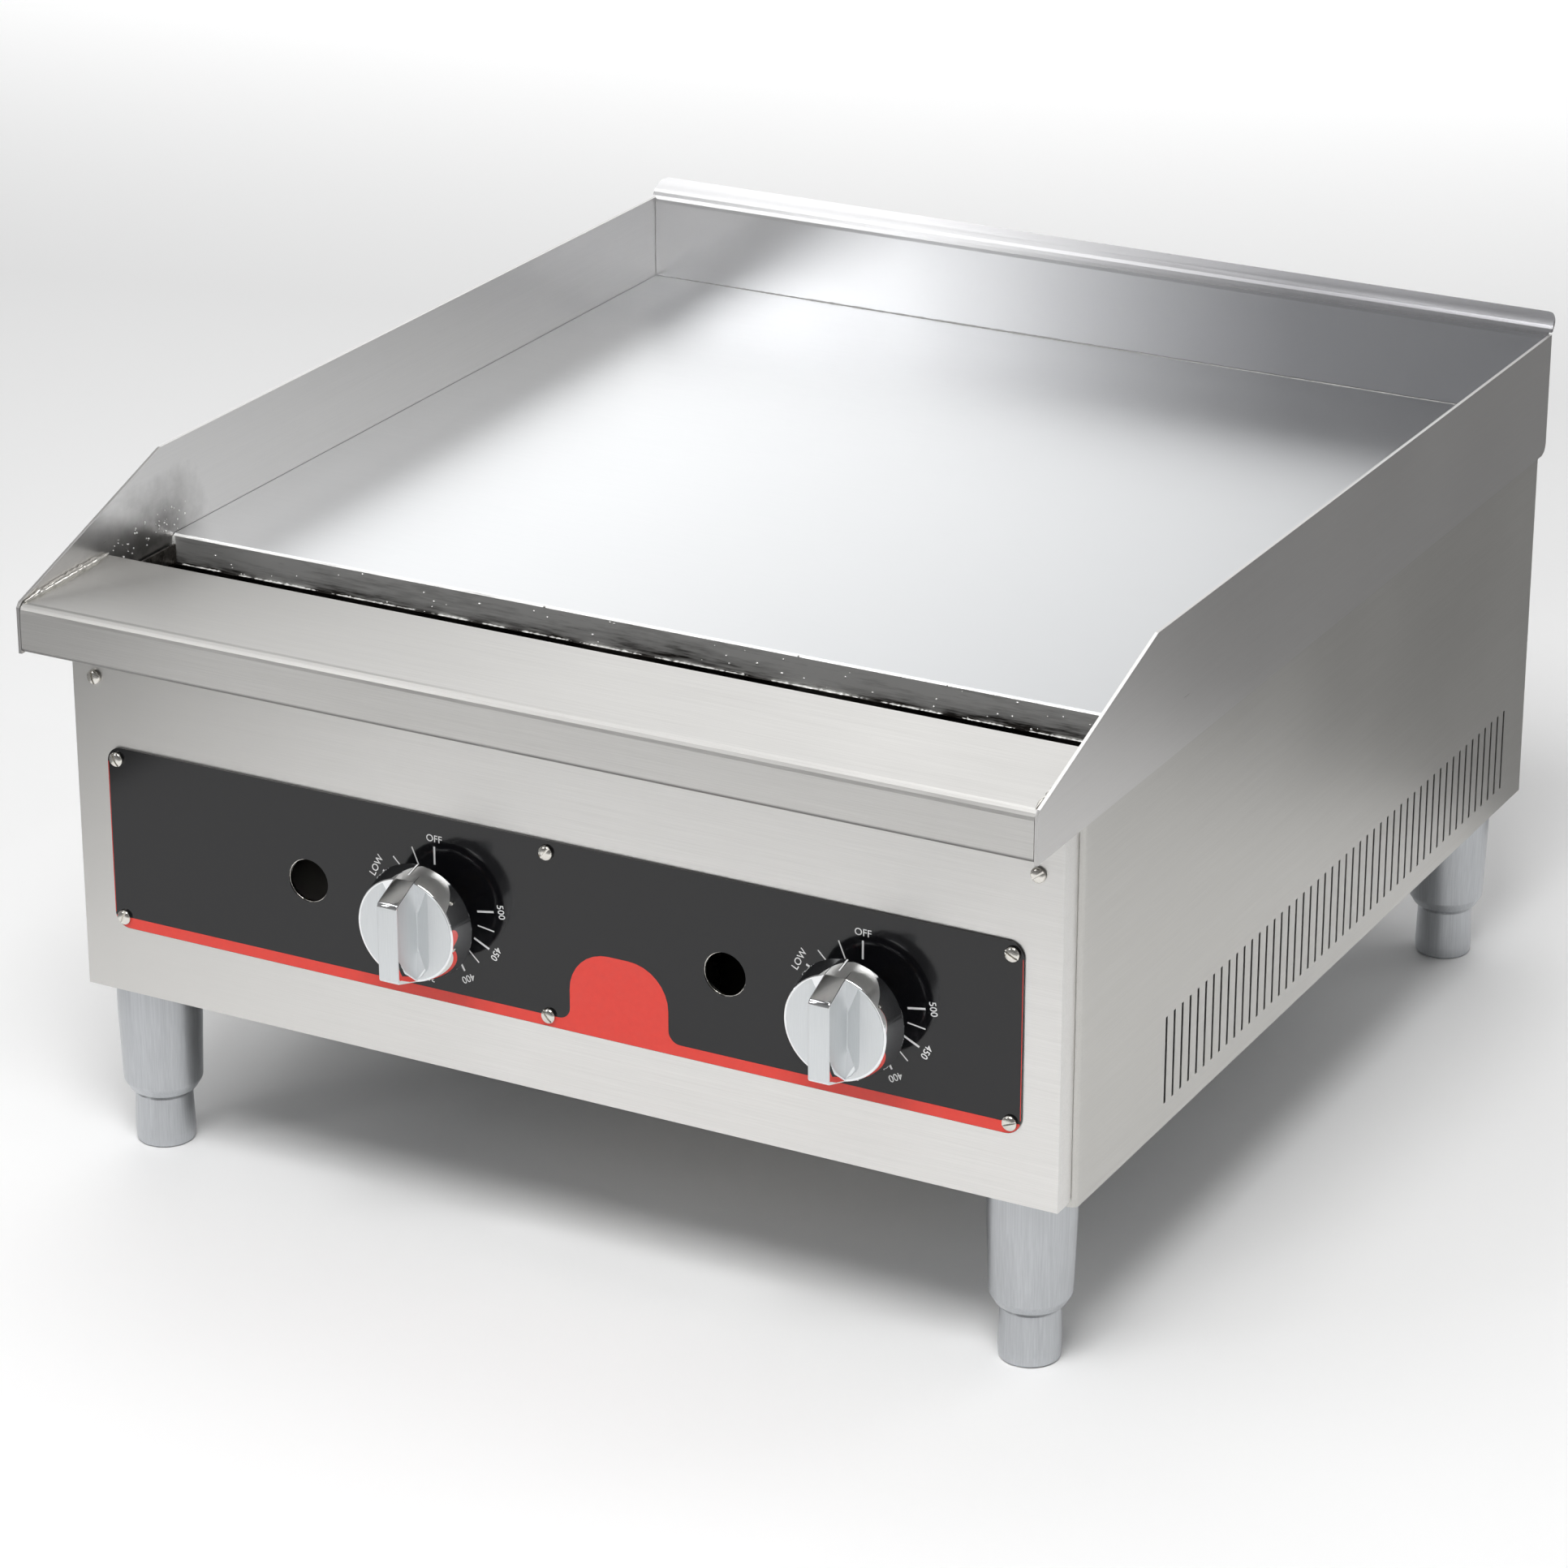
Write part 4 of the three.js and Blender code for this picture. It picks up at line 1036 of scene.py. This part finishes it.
def rod_between(bm, start, end, radius):
    """A round bar with closed ends."""
    start, end = Vector(start), Vector(end)
    run = end - start
    place = Matrix.Translation((start + end) / 2) @ run.to_track_quat("Z", "Y").to_matrix().to_4x4()
    size = {"segments": 10, "radius1": radius, "radius2": radius, "depth": run.length}
    bmesh.ops.create_cone(bm, cap_ends=True, matrix=place, **size)


def knob_creases(side, x, z):
    """The bright fillets where the flanks of the grip meet the grooves."""
    bm = bmesh.new()
    y = PANEL_Y - KNOB_FACE + GROOVE_DEPTH + 0.05 * MM
    for a in (-GRIP_HALF - 0.1 * MM, GRIP_HALF + 0.1 * MM):
        rod_between(bm, (x + a, y, z + CREASE_LOW), (x + a, y, z + CREASE_HIGH), CREASE_RADIUS)
    knob_piece(side, "creases", bm, "satin", smooth=60)


# Parts of the pointer: half its width, how far forward it reaches, how far it stands out, material.
POINTER_PARTS = {
    # The dark strip is painted shade standing in for the shaded walls of the pointer's groove.
    "pointer_groove_painted_shade": (0.8 * MM, 28.2 * MM, 0.12 * MM, "interior"),
    "pointer": (0.42 * MM, 27.6 * MM, 0.22 * MM, "white"),
}
POINTER_FROM, POINTER_SUNK = KNOB_BACK + 0.5 * MM, 1 * MM


def skirt_radius(deep):
    share = (deep - KNOB_BACK) / (KNOB_FACE - KNOB_BACK)
    return SKIRT_BACK + (SKIRT_FRONT - SKIRT_BACK) * share


def knob_pointer(side, x, z):
    """A white line let into the top of the skirt, in a dark strip that is painted shade for the groove's
    walls.
    """
    for name, (half, reach, proud, key) in POINTER_PARTS.items():
        bm = bmesh.new()
        for deep in (POINTER_FROM, reach):
            for lift in (-POINTER_SUNK, proud):
                for a in (-half, half):
                    bm.verts.new((x + a, PANEL_Y - deep, z + skirt_radius(deep) + lift))
        bmesh.ops.convex_hull(bm, input=bm.verts)
        knob_piece(side, name, bm, key)


def knobs():
    for side in SIDES:
        for make in (knob_skirt, knob_face, knob_grip, knob_creases, knob_pointer):
            make(side, KNOB_AT[side].x, DIAL_Z)


# ---- Legs and feet ----

LEG_BORE, LEG_BORE_DEPTH = 8 * MM, 40 * MM
STEM_RADIUS = 6.5 * MM
FOOT_GAP = 0.6 * MM


def leg_profile(radius, bottom, top):
    """A tapered tube, closed at its top and open at its foot."""
    outside = rounded(
        [
            (LEG_BORE, bottom),
            (radius - 5.2 * MM, bottom, 1.5 * MM),
            (radius - 1.6 * MM, bottom + 6 * MM, 4 * MM),
            (radius, top - 18 * MM, 12 * MM),
            (radius, top, 0.4 * MM),
            (0, top),
        ],
        8,
    )
    roof = bottom + LEG_BORE_DEPTH
    return [(0, roof), (LEG_BORE, roof), *outside]


def foot_profile(radius, bottom, seam, top):
    """A turned foot whose stem goes up into the leg. seam is the height of the leg's open end."""
    outside = rounded(
        [
            (0, bottom),
            (radius - 0.4 * MM, bottom, 1.8 * MM),
            (radius, bottom + 7 * MM, 3 * MM),
            (radius - 0.7 * MM, seam - 2.6 * MM, 1.2 * MM),
            (radius - 1.6 * MM, seam - FOOT_GAP, 0.3 * MM),
            (STEM_RADIUS, seam - FOOT_GAP),
        ],
        6,
    )
    return [*outside, (STEM_RADIUS, top), (0, top)]


def turned(bm, profile, sides, at):
    lathe(bm, profile, sides, lambda a, b, h: (at.x + a, at.y + b, h))


def legs():
    for corner in CORNERS:
        leg, foot = f"{corner}_leg", f"{corner}_foot"
        leg_low, leg_high = low(leg), high(leg)
        foot_low, foot_high = low(foot), high(foot)
        leg_radius, foot_radius = (leg_high.x - leg_low.x) / 2, (foot_high.x - foot_low.x) / 2
        bm = bmesh.new()
        turned(bm, leg_profile(leg_radius, leg_low.z, leg_high.z), 96, middle(leg))
        piece(f"{leg}_tube", mesh_from(bm, "leg"), "leg", replaces=[leg], slot="legs")
        bm = bmesh.new()
        turned(bm, foot_profile(foot_radius, foot_low.z, leg_low.z, foot_high.z), 80, middle(leg))
        piece(f"{foot}_turned", mesh_from(bm, "foot"), "leg", body=foot, replaces=[foot], slot="feet")


# ---- Weld beads and spatter ----

LEDGE_FRONT_TOP = 341.4 * MM


def bead(bm, start, end, radius, pick, ripple=0.2, pitch=1.2 * MM, sides=8):
    """A weld bead from start to end: a bar whose thickness ripples and wanders a little."""
    start, end = Vector(start), Vector(end)
    run = end - start
    steps = max(4, int(run.length / pitch))
    across = run.orthogonal().normalized()
    aside = run.normalized().cross(across)
    turns = [2 * math.pi * k / sides for k in range(sides)]
    rings = []
    for i in range(steps + 1):
        t = i / steps
        taper = max(0.15, min(1, 5 * t, 5 * (1 - t)) ** 0.5)
        r = radius * (1 + pick.uniform(-ripple, ripple)) * taper
        wander = (across * pick.uniform(-1, 1) + aside * pick.uniform(-1, 1)) * radius * ripple * 0.6
        centre = start + run * t + wander
        spokes = [across * math.cos(a) + aside * math.sin(a) for a in turns]
        rings.append([bm.verts.new(centre + spoke * r) for spoke in spokes])
    for a, b in zip(rings, rings[1:]):
        for k in range(sides):
            bm.faces.new((a[k], a[(k + 1) % sides], b[(k + 1) % sides], b[k]))
    bm.faces.new(rings[0])
    bm.faces.new(rings[-1])


def plate_welds(pick):
    """Rough beads, laid in short runs along the foot of the plate and up its ends."""
    plate_low, plate_high = low("griddle_plate"), high("griddle_plate")
    bm = bmesh.new()
    x, last = plate_low.x + 1 * MM, plate_high.x - 1 * MM
    y, z = plate_low.y - 0.5 * MM, plate_low.z + 1.3 * MM
    while x < last:
        stop = min(x + pick.uniform(18, 70) * MM, last)
        if stop - x > 4 * MM:
            bead(bm, (x, y, z), (stop, y, z), 0.85 * MM, pick, 0.32)
        x = stop + pick.uniform(0.2, 2.2) * MM
    y += 0.2 * MM
    for x in (plate_low.x - 0.1 * MM, plate_high.x + 0.1 * MM):
        bead(bm, (x, y, z), (x, y, plate_high.z - 1 * MM), 0.9 * MM, pick, 0.35)
    sheet_detail("plate_weld_beads", bm, "bead", 60)


def ledge_welds(pick):
    """Neat rippled beads where the guards meet the ledge."""
    ledge_low, ledge_high = low("front_ledge"), high("front_ledge")
    bm = bmesh.new()
    for x in (ledge_low.x + 1.0 * MM, ledge_high.x - 1.0 * MM):
        front = (x, ledge_low.y + 4 * MM, LEDGE_FRONT_TOP + 0.6 * MM)
        back = (x, ledge_high.y - 0.5 * MM, ledge_high.z + 0.4 * MM)
        bead(bm, front, back, 2.3 * MM, pick, 0.2, 2.2 * MM, 10)
    sheet_detail("ledge_weld_beads", bm, "nickel", 70)


def rear_joint(pick):
    """A thin grimy bead along the joint of the plate and the back guard."""
    plate_low, plate_high = low("griddle_plate"), high("griddle_plate")
    bm = bmesh.new()
    y, z = plate_high.y - 0.2 * MM, plate_high.z
    left, right = (plate_low.x + 2 * MM, y, z), (plate_high.x - 2 * MM, y, z)
    bead(bm, left, right, 0.45 * MM, pick, 0.35, 2.5 * MM, 6)
    sheet_detail("rear_joint_bead", bm, "joint", 60)


def welds():
    pick = random.Random(7)
    plate_welds(pick)
    ledge_welds(pick)
    rear_joint(pick)


EDGE_DROPS, GUARD_DROPS = 90, 46


def spatter():
    """Small drops of set weld and grease on the plate's front edge and on the left guard beside it."""
    pick = random.Random(11)
    plate_low, plate_high = low("griddle_plate"), high("griddle_plate")
    guard_x = high("left_splash_guard").x
    spots = []
    for _ in range(EDGE_DROPS):
        z = plate_low.z + (plate_high.z - plate_low.z) * pick.random() ** 1.6
        spots.append((pick.uniform(-300, 300) * MM, plate_low.y, z))
    for _ in range(GUARD_DROPS):
        spots.append((guard_x, pick.uniform(-262, -190) * MM, pick.uniform(336, 352) * MM))
    bm = bmesh.new()
    for spot in spots:
        r = pick.uniform(0.25, 0.7) * MM
        size = Matrix.Diagonal((r * pick.uniform(0.8, 1.6), r, r, 1))
        place = Matrix.Translation(spot) @ size
        bmesh.ops.create_icosphere(bm, subdivisions=1, radius=1, matrix=place)
    sheet_detail("weld_spatter", bm, "bead", 80)


make_camera()
make_floor()
make_lights()
dim_cards()
dress_nodes()
red_stripe()
red_borders()
dial_marks()
hole_rims()
screws()
knobs()
legs()
welds()
spatter()
